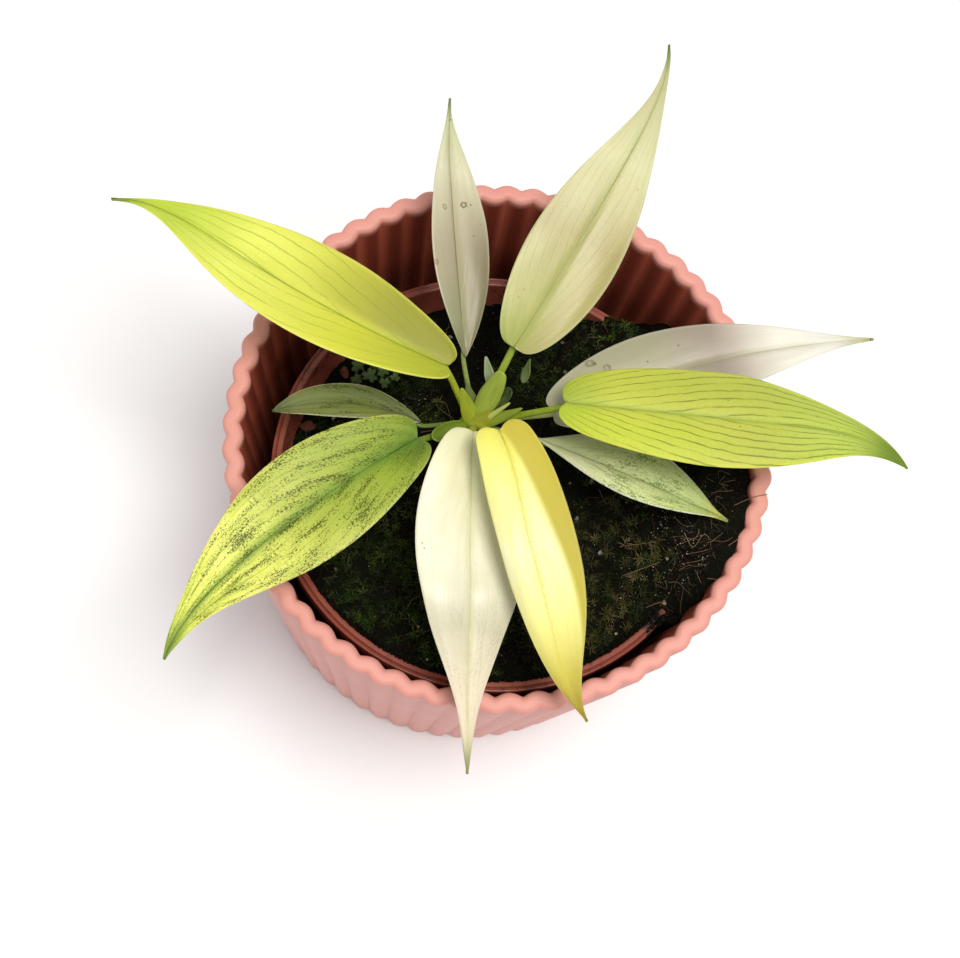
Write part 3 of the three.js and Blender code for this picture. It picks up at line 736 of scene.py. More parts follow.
grit_draw = random.Random(14)
crumbs = [crumb_model(grit_draw, cuts=2) for _ in range(PERLITE_VARIANTS)]
crumb_spots = spread(PERLITE_SPACING, grit_draw, PERLITE_MARGIN, lambda x, y: PERLITE_SHARE)
perlite_grains = set_in_mix(
    "perlite_crumbs", crumbs, crumb_spots, sizes=(0.5, 1.5), slant=1, sink=0, draw=grit_draw)
grains = [crumb_model(grit_draw, cuts=1) for _ in range(PERLITE_VARIANTS)]
grain_spots = spread(
    GRIT_SPACING, grit_draw, PERLITE_MARGIN, lambda x, y: growth(GRIT_PATCHES, x, y) + GRIT_SHARE)
white_grit = set_in_mix(
    "perlite_grit", grains, grain_spots, sizes=(0.13, 0.36), slant=1, sink=-GRIT_RISE, draw=grit_draw)

# Expanded perlite: chalky white glass froth, stained by the peat, that glints where a cell is broken open.
froth, shader, node = new_material("expanded_perlite")
place = node("TexCoord").outputs["Object"]
tone = node("Attribute", attribute_name="tone")
parts = node("SeparateColor", tone)
white = node("MixRGB", parts.outputs[1], linear("#6c6858"), linear("#d4d2c4"))
stain = node("TexNoise", place, Scale=900, Detail=3)
stained_share = node("MapRange", stain, 0.4, 0.6, 0.8, 0)
stained = node("MixRGB", stained_share, white, linear("#3a3226"))
cells = node("TexVoronoi", place, Scale=5000)
foam = node("Bump", Strength=0.6, Distance=0.1 * MM, Height=cells)
fill_sockets(shader, {"Base Color": stained, "Normal": foam, "Roughness": 0.45})
for piece in (perlite_grains, white_grit):
    piece.data.materials.append(froth)
    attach(piece, "root")

# Peat on the lip. Loose crumbs have washed over the nursery pot's lip at the front right, where the heap
# begins to bury it, and some lie along its inner edge.
LIP_CRUMBS = 520
LIP_CRUMB_TURNS = (-28, -12)
LIP_CRUMB_SINK = 0.1 * MM
EDGE_CRUMBS = 1500
EDGE_CRUMB_TURNS = (-155, -25)


def lip_top(x, y):
    """A point on the plane of the nursery pot's rim. x and y are in millimetres."""
    return Vector((x, y, lip_height(x, y))) * MM


lip_draw = random.Random(30)
lip_spots = []
first_turn, last_turn = LIP_CRUMB_TURNS
for k in range(LIP_CRUMBS + EDGE_CRUMBS):
    turn = math.radians(first_turn + (last_turn - first_turn) * lip_draw.random() ** 0.5)
    radius = (NURSERY_RIM_RADIUS - NURSERY_LIP * lip_draw.uniform(-0.1, 1.1)) / MM
    if k >= LIP_CRUMBS:
        turn = math.radians(lip_draw.uniform(*EDGE_CRUMB_TURNS))
        radius = (NURSERY_RIM_RADIUS - NURSERY_LIP * lip_draw.uniform(0.98, 1.5)) / MM
    spot = NURSERY_RIM_CENTRE / MM + around(1, turn) * radius
    lip_spots.append((spot.x, spot.y))
clods = [crumb_model(lip_draw, cuts=1) for _ in range(PERLITE_VARIANTS)]
lip_crumbs = set_in_mix("peat_on_lip", clods, lip_spots, sizes=(0.25, 1), slant=1, sink=LIP_CRUMB_SINK,
    draw=lip_draw, ground=lip_top)
lip_crumbs.data.materials.append(peat)
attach(lip_crumbs, "root")

# Seedlings. A clump of clover-like weeds has come up at the left: three round leaflets to a leaf on a thin
# stalk.
SEEDLING_ROOT = (-37.4, 11.6)
LEAFLET_SIDES = 12
LEAFLET_THICKNESS = 0.2 * MM
SEEDLING_STALK = 0.22 * MM
SEEDLING_ARCH = 1.2 * MM

# A leaf is its place on the mix, how high it stands, the size of its leaflets and its heading.
SEEDLING_LEAVES = (
    (-42, 12.5, 4.5, 1.9, 20), (-38.4, 14.4, 6, 2.1, 75), (-35, 12.6, 5, 1.8, 140),
    (-37.6, 10, 6.6, 2.2, 210), (-33.4, 9.6, 4.4, 1.6, 290), (-40.8, 8.8, 4, 1.7, 330),
    (-36, 16.4, 3.6, 1.5, 40), (-31.6, 12.8, 3.4, 1.4, 100),
)

sprigs = []
root = mix_surface(*SEEDLING_ROOT) - UPRIGHT * MM
for x, y, rise, size, heading in SEEDLING_LEAVES:
    centre = mix_surface(x, y) + UPRIGHT * rise * MM
    outward = centre - root
    for k in range(3):
        turn = math.radians(heading + 120 * k)
        bpy.ops.object.select_all(action="DESELECT")
        bpy.ops.mesh.primitive_circle_add(vertices=LEAFLET_SIDES, radius=size / 2 * MM, fill_type="TRIFAN")
        leaflet = bpy.context.object
        for corner in leaflet.data.vertices:
            at_notch = corner.co.x > 0.45 * size * MM and abs(corner.co.y) < 0.1 * size * MM
            corner.co.x += size * 0.55 * MM - (0.35 * size * MM if at_notch else 0)
            corner.co.z = 0.35 * abs(corner.co.y) + 0.12 * corner.co.x
        leaflet.rotation_euler.z = turn
        leaflet.location = centre
        bpy.ops.object.transform_apply(location=True, rotation=True, scale=True)
        sheet = leaflet.modifiers.new("sheet", "SOLIDIFY")
        sheet.thickness = LEAFLET_THICKNESS
        bpy.ops.object.modifier_apply(modifier=sheet.name)
        sprigs.append(leaflet)
    stalk = smooth_route([root, root + outward * 0.5 + UPRIGHT * SEEDLING_ARCH, centre], steps=5)
    sprigs.append(tube("stalk", stalk, [SEEDLING_STALK] * len(stalk), sides=6))
seedlings = join_pieces(sprigs, "seedling_clump")
bpy.ops.object.shade_smooth_by_angle(angle=math.radians(50))

# Young weed leaf: thin, soft and fresh green, paler over its middle.
weed, shader, node = new_material("young_weed_leaf")
place = node("TexCoord").outputs["Object"]
mottle = node("TexNoise", place, Scale=500, Detail=3)
fresh = node("MixRGB", mottle, linear("#1c3400"), linear("#42600a"))
fill_sockets(shader, {"Base Color": fresh, "Roughness": 0.5})
seedlings.data.materials.append(weed)
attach(seedlings, "root")

# Bark chips. Flat crumbs of composted bark, pinkish brown where they are broken.
BARK_WIDTH = 0.62
BARK_THICKNESS = 0.25
BARK_RISE = 0.4 * MM

# The place and length of each chip, whose width and thickness are shares of its length.
BARK_CHIPS = ((-45, 11, 3.6), (-48, -7, 5), (-41, 16, 2.6), (12, 20, 2.4), (52, -24, 3))

chips = []
chip_draw = random.Random(3)
for x, y, size in BARK_CHIPS:
    turns = (chip_draw.uniform(-0.5, 0.5), chip_draw.uniform(-0.5, 0.5), chip_draw.uniform(0, FULL_TURN))
    bpy.ops.object.select_all(action="DESELECT")
    bpy.ops.mesh.primitive_ico_sphere_add(subdivisions=2, radius=size / 2 * MM, rotation=turns,
        location=mix_surface(x, y) + UPRIGHT * BARK_RISE, scale=(1, BARK_WIDTH, BARK_THICKNESS))
    chip = bpy.context.object
    for corner in chip.data.vertices:
        corner.co *= 1 + 0.5 * noise.noise(corner.co / MM + Vector((x, y, 0)))
    chips.append(chip)
bark_chips = join_pieces(chips, "bark_chips")
bark, shader, node = new_material("composted_bark")
place = node("TexCoord").outputs["Object"]
grain_at = node("Mapping", place, Scale=(2200, 600, 900))
grain = node("TexNoise", grain_at, Scale=1, Detail=4)
wood = node("MixRGB", grain, linear("#3a1e16"), linear("#8a5040"))
fibre = node("Bump", Strength=0.7, Distance=0.2 * MM, Height=grain)
fill_sockets(shader, {"Base Color": wood, "Normal": fibre, "Roughness": 0.75, "Specular IOR Level": 0.2})
bark_chips.data.materials.append(bark)
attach(bark_chips, "root")

# Leaf blades. Each is one thin leathery sheet on an arched midrib, with side veins that leave the midrib
# low down and run together at the tip. The plant's variegation gives every blade its own pale or speckled
# colour, and on some blades shade, a highlight or light through the blade is painted into it as well.
BLADE_THICKNESS = 0.6 * MM
BLADE_EDGE_SHARE = 0.4
BLADE_END_HALF_WIDTH = 0.12 * MM
BLADE_ROWS = 150
BLADE_COLUMNS = 44
MIDRIB_STEPS = 80
MIDRIB_GROOVE = 0.4 * MM
MIDRIB_GROOVE_WIDTH = 0.8 * MM
DIP_LATENESS = 1.3
HOOK_START = 0.6
TIP_REACH = 0.5
TIP_FULLNESS = 0.8
FOOT_ROUNDING = 0.035
FOOT_SLENDERNESS = 6
VALLEY_REACH = 0.2
RIDGE_SPREAD = 6
LOBE_REACH = 0.06
RIPPLE_HEIGHT = 0.45 * MM
VEIN_FAN = 0.8
VEIN_FAN_END = 0.8
VEIN_HALF_WIDTH = 0.21
RING_SHARE = 0.55
LEAST_RING = 0.5
LEAF_GLOW = 0.85

# base is the blade's foot in millimetres from the centre of the cover pot's rim, and angles are in degrees.
# heading, sweep and hook turn the blade sideways, rise and dip are its slope at the foot and at the tip,
# roll and fold tilt it and its halves, valley folds it more at the foot, and curl bows the halves. blunt,
# taper, skew, drip and lobe shape the outline, and shoulder rounds it at the foot. ridge is the place and
# height of a swell across the blade, shift moves the midrib off the middle, and clear is how far light
# comes through. A place is a share of the way from foot to tip, or from the midrib out to the left margin.
# shades are the places and colours from foot to tip. cloud, edge, vein, rib, zone and speckle are a colour
# and how strong it is. Then follow the rib's width, the zone's width and the share of it left near the tip,
# and the noise level above which flecks show and the places where they begin and are full. tip is a colour
# and where it starts. left and right tint one half: colour, strength, the place where it ends, how far out
# it starts and is full, and how fast both move outward. A blemish is its place along and across, its size
# in millimetres and its colour.
LEAVES = [
    dict(name="leaf_upper_left", slot="yellow_green_leaf", base=(-17.5, 3.5, 23), heading=166.5, sweep=-27,
        hook=36, length=92.5, width=26, rise=8, dip=-24, roll=13, fold=16, valley=4, curl=0.05, blunt=0.2,
        taper=1.9, skew=2.3, drip=0.2, lobe=6,
        shades=((0, "#96a024"), (0.25, "#c8ca42"), (0.58, "#dae270"), (0.8, "#b8cc4a"), (0.92, "#bad046")),
        cloud=("#b9c23a", 0.35), edge=("#dde074", 0.4), veins=4, vein=("#748c18", 0.65),
        rib=("#7d9420", 0.8, 0.5), zone=("#b6bf3c", 0.2, 3, 1), speckle=("#6c8424", 0.25, 0.66, 0, 1),
        tip=("#6f981c", 0.95), right=("#84841a", 0.75, 0.42, 0, 0.22, 0),
        blemishes=((0.105, 0, 0.3, "#2c3808"),)),
    dict(name="leaf_top", slot="grey_white_leaf", base=(-14.5, 11, 13), heading=114.5, sweep=-6, hook=-5,
        length=65, width=16.5, rise=16, dip=-6, roll=25, fold=20, valley=0, curl=0.3, blunt=0.85, taper=1.7,
        skew=1.2, drip=0.25, lobe=1.5, clear=0.17,
        shades=((0, "#566238"), (0.13, "#989d78"), (0.4, "#b6ae94"), (0.7, "#dedec0"), (0.88, "#ced8a8")),
        cloud=("#b4aa90", 0.3), edge=("#ddd8c0", 0.5), veins=3, vein=("#a3a47c", 0.25),
        rib=("#747c4c", 0.85, 0.42), zone=("#b4b08a", 0.35, 2.2, 1), speckle=("#8f8f6c", 0.3, 0.62, 0, 1),
        tip=("#6e8038", 0.96), right=("#7a7256", 0.68, 0.6, 0.02, 0.5, 0),
        blemishes=((0.54, 0.5, 0.9, "#8c8056"), (0.56, -0.35, 1.0, "#6a5a38"),
            (0.56, -0.58, 0.4, "#33281c"), (0.485, -0.8, 0.35, "#6f6a58"), (0.44, -0.52, 0.35, "#5d5848"),
            (0.335, 0.93, 0.8, "#8e7c5c"), (0.905, -0.22, 0.35, "#1f2410"), (0.805, 0.2, 0.25, "#33401c"),
            (0.25, -0.8, 0.7, "#9a8c70"))),
    # Its shades are darker up to 0.35 and lighter from 0.6, where it passes over the rim: partly its own
    # colour, partly painted light, darker over the dark pot and lighter over the pale floor.
    dict(name="leaf_upper_right", slot="cream_leaf", base=(-4.5, 17, 15), heading=80.5, sweep=8, hook=21,
        length=86.5, width=22.5, rise=20, dip=-8, roll=12, fold=0, valley=10, curl=0.08, blunt=0.2,
        taper=2.4, skew=2.1, drip=0.25, lobe=2, clear=0.27,
        shades=((0, "#a6b658"), (0.12, "#bec47c"), (0.35, "#b6b078"), (0.6, "#dcdeb2"), (0.85, "#c6c99e")),
        cloud=("#dccf9c", 0.35), edge=("#eeeec0", 0.45), veins=5, vein=("#8aa040", 0.3),
        rib=("#748428", 0.75, 0.34), zone=("#b4bc68", 0.42, 3, 0.2), speckle=("#8c9c54", 0.35, 0.64, 0, 1),
        tip=("#6c8a3c", 0.96), right=("#b0a062", 0.45, 0.5, 0.02, 0.5, 0),
        blemishes=((0.145, 0.55, 0.5, "#b09c64"), (0.12, 0.62, 0.45, "#b0a068"),
            (0.545, -0.7, 0.3, "#8a8454"))),
    # Its lilac-grey shade at 0.5 is painted: the coral rim seen through the blade. Its near-white shades from
    # 0.7 are its own whitish colour and partly painted light through the blade from the floor.
    dict(name="leaf_right_back", slot="white_leaf", base=(10, 7.5, 9.5), heading=34, sweep=-15, hook=1,
        length=82, width=21, rise=8, dip=-9, roll=-6, fold=6, valley=0, curl=0.25, blunt=0.35, taper=1.6,
        skew=1.5, drip=0.45, lobe=6, clear=0.45,
        shades=((0, "#d0d0b0"), (0.3, "#c0c0a0"), (0.5, "#bcb0a4"), (0.7, "#f8f8ee"), (0.95, "#fcfcfa")),
        cloud=("#d2cfb4", 0.3), edge=("#f2f0e0", 0.4), veins=4, vein=("#b8bc94", 0.12),
        rib=("#b4b884", 0.6, 0.35), zone=("#c4c4a0", 0.25, 2.5, 1), speckle=("#98987c", 0.25, 0.66, 0, 1),
        tip=("#c4c68c", 0.93),
        blemishes=((0.16, 0.78, 0.55, "#33301c"), (0.15, 0.86, 1.3, "#9c9674"),
            (0.185, 0.53, 1.2, "#98906c"), (0.3, 0.35, 0.4, "#4c4634"), (0.4, 0.53, 0.45, "#5f5a48"),
            (0.995, 0, 0.7, "#231f14"))),
    dict(name="leaf_right", slot="veined_leaf", base=(11.5, 6, 21), heading=16.5, sweep=11, hook=-37,
        length=86.5, width=23, rise=12, dip=-28, roll=-12, fold=-2, valley=10, curl=0.2, blunt=0.2,
        taper=1.8, skew=2.4, drip=0.7, lobe=6,
        shades=((0, "#9cb038"), (0.12, "#bfc64c"), (0.5, "#b4bc54"), (0.75, "#b2c45c"), (0.9, "#98b048")),
        cloud=("#aebc40", 0.4), edge=("#d2dc5c", 0.3), veins=6, vein=("#525e00", 0.85),
        rib=("#8fa438", 0.6, 0.9), zone=("#a9b94a", 0.5, 3, 0.4), speckle=("#6c8a2c", 0.6, 0.6, 0.45, 0.75),
        tip=("#5c7a10", 0.88), left=("#8c9c34", 0.2, 1, 0.02, 0.5, 0),
        right=("#c0d634", 0.35, 0.45, 0.02, 0.5, 0),
        blemishes=((0.46, -0.17, 0.3, "#39480f"), (0.43, 0.35, 0.3, "#39480f"))),
    # Its left tint darkens the left half, which leaf_right overhangs: painted shadow.
    dict(name="leaf_lower_right", slot="pale_speckled_leaf", base=(7.5, 1, 4), heading=-2.5, sweep=-1,
        hook=1, length=51, width=17.5, rise=5, dip=-12, roll=-18, fold=22, valley=0, curl=0.3, blunt=1.6,
        taper=1.5, skew=0.9, drip=0.65, lobe=0.5,
        shades=((0, "#e0e6b8"), (0.25, "#ecf2c4"), (0.55, "#dce6a8"), (0.85, "#b6c680"), (0.95, "#b0b864")),
        cloud=("#a4b47c", 0.4), edge=("#dfe2c4", 0.9), veins=5, vein=("#7c9850", 0.3),
        rib=("#93a668", 0.5, 0.4), zone=("#a8b880", 0.3, 2, 1), speckle=("#4c7a1c", 0.75, 0.545, 0.2, 0.42),
        tip=("#b0b450", 0.9), left=("#98a468", 0.4, 1.2, 0.02, 0.5, 0)),
    # Its left tint darkens the half that folds down, as painted shade; its zone darkens the crease at the
    # foot, as painted shade; and its pale cream shade at 0.4 is partly painted highlight.
    dict(name="leaf_front_right", slot="yellow_leaf", base=(-0.8, -7.2, 23.5), heading=-56.5, sweep=-21,
        hook=34, length=70.2, width=18.5, rise=8, dip=-36, roll=-12, fold=-13, valley=26, curl=0.4,
        blunt=0.055, taper=1.6, skew=3.5, drip=0.42, lobe=4.6, shoulder=0.06, shift=-0.32,
        shades=((0, "#d4d05c"), (0.12, "#ecea8c"), (0.4, "#f6f8c0"), (0.62, "#eeeca0"), (0.82, "#c0b650")),
        cloud=("#dcd860", 0.3), edge=("#f3ee88", 0.4), veins=4, vein=("#a4a83c", 0.12),
        rib=("#c4c44c", 0.15, 0.5), zone=("#ccc850", 0.5, 2, 0.05),
        speckle=("#b0b048", 0.25, 0.64, 0.6, 0.9), tip=("#a08c2c", 0.88),
        left=("#b8ac38", 0.9, 0.95, 0.02, 0.22, 1.05)),
    # Its left tint greens and darkens the left half near the foot, painted shade under leaf_front_right; its
    # darker shade at 0.58 is painted shade where the blade turns down past its ridge.
    dict(name="leaf_front", slot="cream_white_leaf", base=(-6.5, -7, 15), heading=-70.5, sweep=3, hook=0,
        length=78.5, width=25.5, rise=4, dip=-24, roll=-12, fold=-1, valley=14, curl=0.2, blunt=0.14,
        taper=2.7, skew=2.6, drip=0.36, lobe=2.6, ridge=(0.49, 1.1), clear=0.1,
        shades=((0, "#dcdeb4"), (0.12, "#ecedcc"), (0.4, "#ecedd8"), (0.58, "#cecdb6"), (0.78, "#ecdfca")),
        cloud=("#cdc8a8", 0.4), edge=("#efecd8", 0.4), veins=5, vein=("#b4b884", 0.1),
        rib=("#a8ae84", 0.45, 0.35), zone=("#cdd098", 0.4, 2.2, 1),
        speckle=("#a39c78", 0.45, 0.57, 0.45, 0.62), tip=("#788440", 0.95),
        left=("#ccd088", 0.7, 0.3, 0, 0.4, 0),
        blemishes=((0.345, -0.88, 0.35, "#57523c"), (0.36, -0.85, 0.25, "#57523c"))),
    dict(name="leaf_lower_left", slot="green_speckled_leaf", base=(-18.5, -12.5, 13), heading=-120,
        sweep=13, hook=20, length=77.5, width=25, rise=10, dip=-22, roll=-1, fold=14, valley=14, curl=0.2,
        blunt=0.2, taper=2.1, skew=2.4, drip=0.6, lobe=6,
        shades=((0, "#3a5a0a"), (0.14, "#92a638"), (0.4, "#bcc65a"), (0.66, "#e8ee80"), (0.9, "#e0ec74")),
        cloud=("#9cae3c", 0.6), edge=("#d8e08c", 0.4), veins=6, vein=("#5f7c20", 0.35),
        rib=("#4f7838", 0.7, 0.5), zone=("#6c9440", 0.65, 5, 0.4),
        speckle=("#465400", 0.95, 0.545, 0, 0.02), tip=("#7c9838", 0.93),
        right=("#98ac38", 0.5, 0.45, 0.02, 0.5, 0)),
    dict(name="leaf_left_small", slot="grey_green_leaf", base=(-19.5, -5, 3), heading=-164.5, sweep=40,
        hook=0, length=36.5, width=9.5, rise=2, dip=-12, roll=9, fold=16, valley=0, curl=0.3, blunt=1.5,
        taper=0.9, skew=0.7, drip=0.35, lobe=2.5,
        shades=((0, "#41471e"), (0.3, "#748038"), (0.6, "#788240"), (0.85, "#74743a"), (0.95, "#5c542e")),
        cloud=("#849468", 0.5), edge=("#c4caa4", 0.7), veins=3, vein=("#465a24", 0.6),
        rib=("#455c28", 0.85, 0.35), zone=("#8c9c68", 0.3, 1.2, 1), speckle=("#33380a", 0.85, 0.58, 0, 0.1),
        tip=("#5f6c40", 0.9), right=("#6c7c38", 0.5, 1.2, 0.02, 0.5, 0)),
]


def blade_axes(leaf, t):
    """The directions along the midrib, to its left and up from the blade, at a share t of its length."""
    hook = leaf["hook"] * max((t - HOOK_START) / (1 - HOOK_START), 0) ** 2
    heading = math.radians(leaf["heading"] + leaf["sweep"] * (t - 0.5) + hook)
    slope = math.radians(leaf["rise"] + (leaf["dip"] - leaf["rise"]) * t**DIP_LATENESS)
    level = math.cos(slope)
    along = around(level, heading, math.sin(slope))
    left = Vector((-math.sin(heading), math.cos(heading), 0))
    left.rotate(Quaternion(along, math.radians(leaf["roll"])))
    return along, left, along.cross(left)


def midrib_points(leaf):
    points = [from_rim(leaf["base"])]
    for k in range(MIDRIB_STEPS):
        along, _, _ = blade_axes(leaf, (k + 0.5) / MIDRIB_STEPS)
        points.append(points[k] + along * leaf["length"] * MM / MIDRIB_STEPS)
    return points


def blade_share(leaf, t):
    """Half width as a share of the greatest: a rounded foot, widest before the middle, and a drip tip."""
    u = t ** leaf["skew"]
    blunt, taper = leaf["blunt"], leaf["taper"]
    widest = blunt / (blunt + taper)
    body = (u**blunt * (1 - u) ** taper) / (widest**blunt * (1 - widest) ** taper)
    foot = FOOT_ROUNDING * (1 + FOOT_SLENDERNESS * blunt * blunt)
    tip = leaf["drip"] * min((1 - t) / TIP_REACH, 1) ** TIP_FULLNESS * (1 - math.exp(-t / foot))
    shoulder = leaf.get("shoulder", 0)
    rounded = (1 - (1 - t / shoulder) ** 2) ** 0.5 if t < shoulder else 1
    return rounded * (body**3 + tip**3) ** (1 / 3)


def blade_half_width(leaf, t):
    return max(leaf["width"] / 2 * MM * blade_share(leaf, t), BLADE_END_HALF_WIDTH)


def midrib_shift(leaf, t):
    """How far the midrib lies to the left of the blade's middle, as a share of the half width."""
    return leaf.get("shift", 0) * smoothstep(0, 0.4, t)


def blade_corner(u, v):
    """The shares of the way along the blade and out to its margin, closest at the ends and at the rib."""
    t = 0.5 - 0.5 * math.cos(math.pi * v)
    side = 2 * u - 1
    return t, math.copysign(abs(side) ** 1.2, side)


def blade_maker(leaf):
    """The function that puts each corner of the blade's grid, with u across it and v from foot to tip."""
    points = midrib_points(leaf)
    ridge_place, ridge_height = leaf.get("ridge", (0, 0))

    def place_corner(u, v):
        t, across = blade_corner(u, v)
        along, left, up = blade_axes(leaf, t)
        walked = min(t * MIDRIB_STEPS, MIDRIB_STEPS - 1e-6)
        k = int(walked)
        spot = points[k].lerp(points[k + 1], walked - k)
        half = blade_half_width(leaf, t)
        lobe = 2 * leaf["lobe"] * MM * blade_share(leaf, t) * math.exp(-t / LOBE_REACH)
        groove = MIDRIB_GROOVE * leaf["rib"][1] * min(half / (4 * MM), 1)
        groove *= math.exp(-((across * half / MIDRIB_GROOVE_WIDTH) ** 2))
        ripple = noise.noise(Vector((across * 1.6, t * 5.5, leaf["heading"]))) * RIPPLE_HEIGHT * abs(across)
        fold = math.radians(leaf["fold"] + leaf["valley"] * math.exp(-((t / VALLEY_REACH) ** 2)))
        ridge = ridge_height * MM * math.exp(-(((t - ridge_place) * leaf["length"] / RIDGE_SPREAD) ** 2))
        spot += left * (across + midrib_shift(leaf, t) * (1 - abs(across))) * half * math.cos(fold)
        spot += up * (abs(across) * half * math.sin(fold) - groove + ripple + ridge)
        spot += up * (leaf["curl"] * half * (abs(across) * (1 - abs(across)) - 0.1))
        return spot - along * (lobe * abs(across))

    return place_corner


def finish_blade(leaf, piece):
    """Writes each corner's place on the blade as UV maps, in shares and in millimetres, and thickens it."""
    lengths = piece.data.uv_layers.new(name="millimetres")
    square = piece.data.uv_layers["UVMap"]
    for loop in piece.data.loops:
        t, across = blade_corner(*square.data[loop.index].uv)
        square.data[loop.index].uv = ((across + 1) / 2, t)
        lengths.data[loop.index].uv = (across * blade_half_width(leaf, t) / MM, t * leaf["length"])
    full = piece.vertex_groups.new(name="thickness")
    row = BLADE_COLUMNS + 1
    for corner in piece.data.vertices:
        side = abs(2 * (corner.index % row) / BLADE_COLUMNS - 1)
        full.add([corner.index], 1 - (1 - BLADE_EDGE_SHARE) * smoothstep(0.75, 1, side), "REPLACE")
    sheet = piece.modifiers.new("sheet", "SOLIDIFY")
    sheet.thickness = BLADE_THICKNESS
    sheet.offset = 0
    sheet.vertex_group = full.name
    bpy.context.view_layer.objects.active = piece
    bpy.ops.object.modifier_apply(modifier=sheet.name)
    piece.vertex_groups.clear()


def leaf_material(leaf):
    """Living leaf tissue: a waxy skin over soft cells, so it shines broadly and lets some light through."""
    material, shader, node = new_material(leaf["slot"])
    square = node("UVMap", uv_map="UVMap")
    split = node("SeparateXYZ", square)
    t = split.outputs[1]
    across = node("Math", split, 2, -1, operation="MULTIPLY_ADD")
    side = node("Math", across, operation="SIGN")
    apart = node("Math", across, operation="ABSOLUTE")
    lengths = node("UVMap", uv_map="millimetres")
    run = node("SeparateXYZ", lengths)
    seed = leaf["heading"] % 50
    here = node("CombineXYZ", run.outputs[0], run.outputs[1], seed)

    # A side vein keeps its share of the way to the margin, but those near the midrib leave it further up.
    early = node("MapRange", t, 0, VEIN_FAN_END, 1, 0)
    fan = node("Math", early, 2, operation="POWER")
    lane = node("Math", fan, VEIN_FAN, apart, operation="MULTIPLY_ADD")
    wander = node("TexNoise", here, Scale=0.06, Detail=4)
    quiver = node("TexNoise", here, Scale=0.3, Detail=2)
    nudged = node("Math", quiver, 0.05, lane, operation="MULTIPLY_ADD")
    strayed = node("Math", wander, 0.16, nudged, operation="MULTIPLY_ADD")
    count = node("Math", strayed, leaf["veins"], operation="MULTIPLY")
    phase = node("Math", count, operation="FRACT")
    number = node("Math", count, operation="FLOOR")
    named = node("Math", side, 17.3, number, operation="MULTIPLY_ADD")
    from_vein = node("Math", phase, 0.5, operation="PINGPONG")
    vein_phase = VEIN_HALF_WIDTH * leaf["veins"] / (leaf["width"] / 2)
    thin = node("MapRange", t, 0, 1, vein_phase, vein_phase * 2)
    line = node("MapRange", from_vein, 0, thin, 1, 0, interpolation_type="SMOOTHSTEP")
    own = node("TexWhiteNoise", W=named, noise_dimensions="1D")
    bold = node("MapRange", own.outputs["Value"], 0, 1, 0.55, 1)
    broken_at = node("VectorMath", here, (0.7, 0.14, 1), operation="MULTIPLY")
    broken = node("TexNoise", broken_at, Scale=1, Detail=3)
    whole = node("MapRange", broken, 0.36, 0.54, 0.25, 1)
    bold_line = node("Math", line, bold, operation="MULTIPLY")
    vein = node("Math", bold_line, whole, operation="MULTIPLY")

    # Along the side veins the tissue is drawn out in cells and flecks, so their pattern follows the same
    # lanes.
    lane_run = node("Math", lane, leaf["width"] / 2, operation="MULTIPLY")
    flow_x = node("Math", lane_run, side, operation="MULTIPLY")
    flow = node("CombineXYZ", flow_x, run.outputs[1], seed)
    fleck_at = node("VectorMath", flow, (3.6, 1.7, 1), operation="MULTIPLY")
    fleck = node("TexNoise", fleck_at, Scale=1, Detail=6, Roughness=0.68)
    patch_at = node("VectorMath", flow, (0.5, 0.12, 1), operation="MULTIPLY")
    patch = node("TexNoise", patch_at, Scale=1, Detail=2)
    speckle_colour, speckle_share, level, appear, full = leaf["speckle"]
    uneven = node("Math", patch, 0.46, -0.23, operation="MULTIPLY_ADD")
    raised = node("Math", fleck, uneven, operation="ADD")
    near_vein = node("Math", line, 0.03, raised, operation="MULTIPLY_ADD")
    cut = node("MapRange", near_vein, level, level + 0.035, 0, speckle_share, interpolation_type="SMOOTHSTEP")
    grown = node("MapRange", t, appear, full, 0, 1)
    flecks = node("Math", cut, grown, operation="MULTIPLY")
    cell_at = node("VectorMath", flow, (1.6, 0.7, 1), operation="MULTIPLY")
    cell = node("TexVoronoi", cell_at, Scale=1, feature="DISTANCE_TO_EDGE")
    net = node("MapRange", cell, 0.02, 0.2, 0.08, 0)
    net_share = node("Math", net, leaf["vein"][1], operation="MULTIPLY")

    # The midrib is a thin line that fades towards the tip, in a strip of tissue with its own tint.
    off_rib = node("Math", run.outputs[0], operation="ABSOLUTE")
    rib_colour, rib_share, rib_width = leaf["rib"]
    rib = node("MapRange", off_rib, rib_width * 0.25, rib_width, rib_share, 0,
        interpolation_type="SMOOTHSTEP")
    rib_fade = node("MapRange", t, 0.45, 1, 1, 0.35)
    rib_patchy = node("MapRange", fleck, 0.35, 0.55, 0.55, 1)
    rib_whole = node("Math", rib_fade, rib_patchy, operation="MULTIPLY")
    rib_line = node("Math", rib, rib_whole, operation="MULTIPLY")
    zone_colour, zone_share, zone_width, zone_end = leaf["zone"]
    narrower = node("MapRange", t, 0, 0.75, zone_width, zone_width * zone_end)
    ragged = node("Math", fleck, -5, 2.5, operation="MULTIPLY_ADD")
    zone_edge = node("Math", off_rib, ragged, operation="ADD")
    zone = node("MapRange", zone_edge, 0, narrower, zone_share, 0, interpolation_type="SMOOTHSTEP")

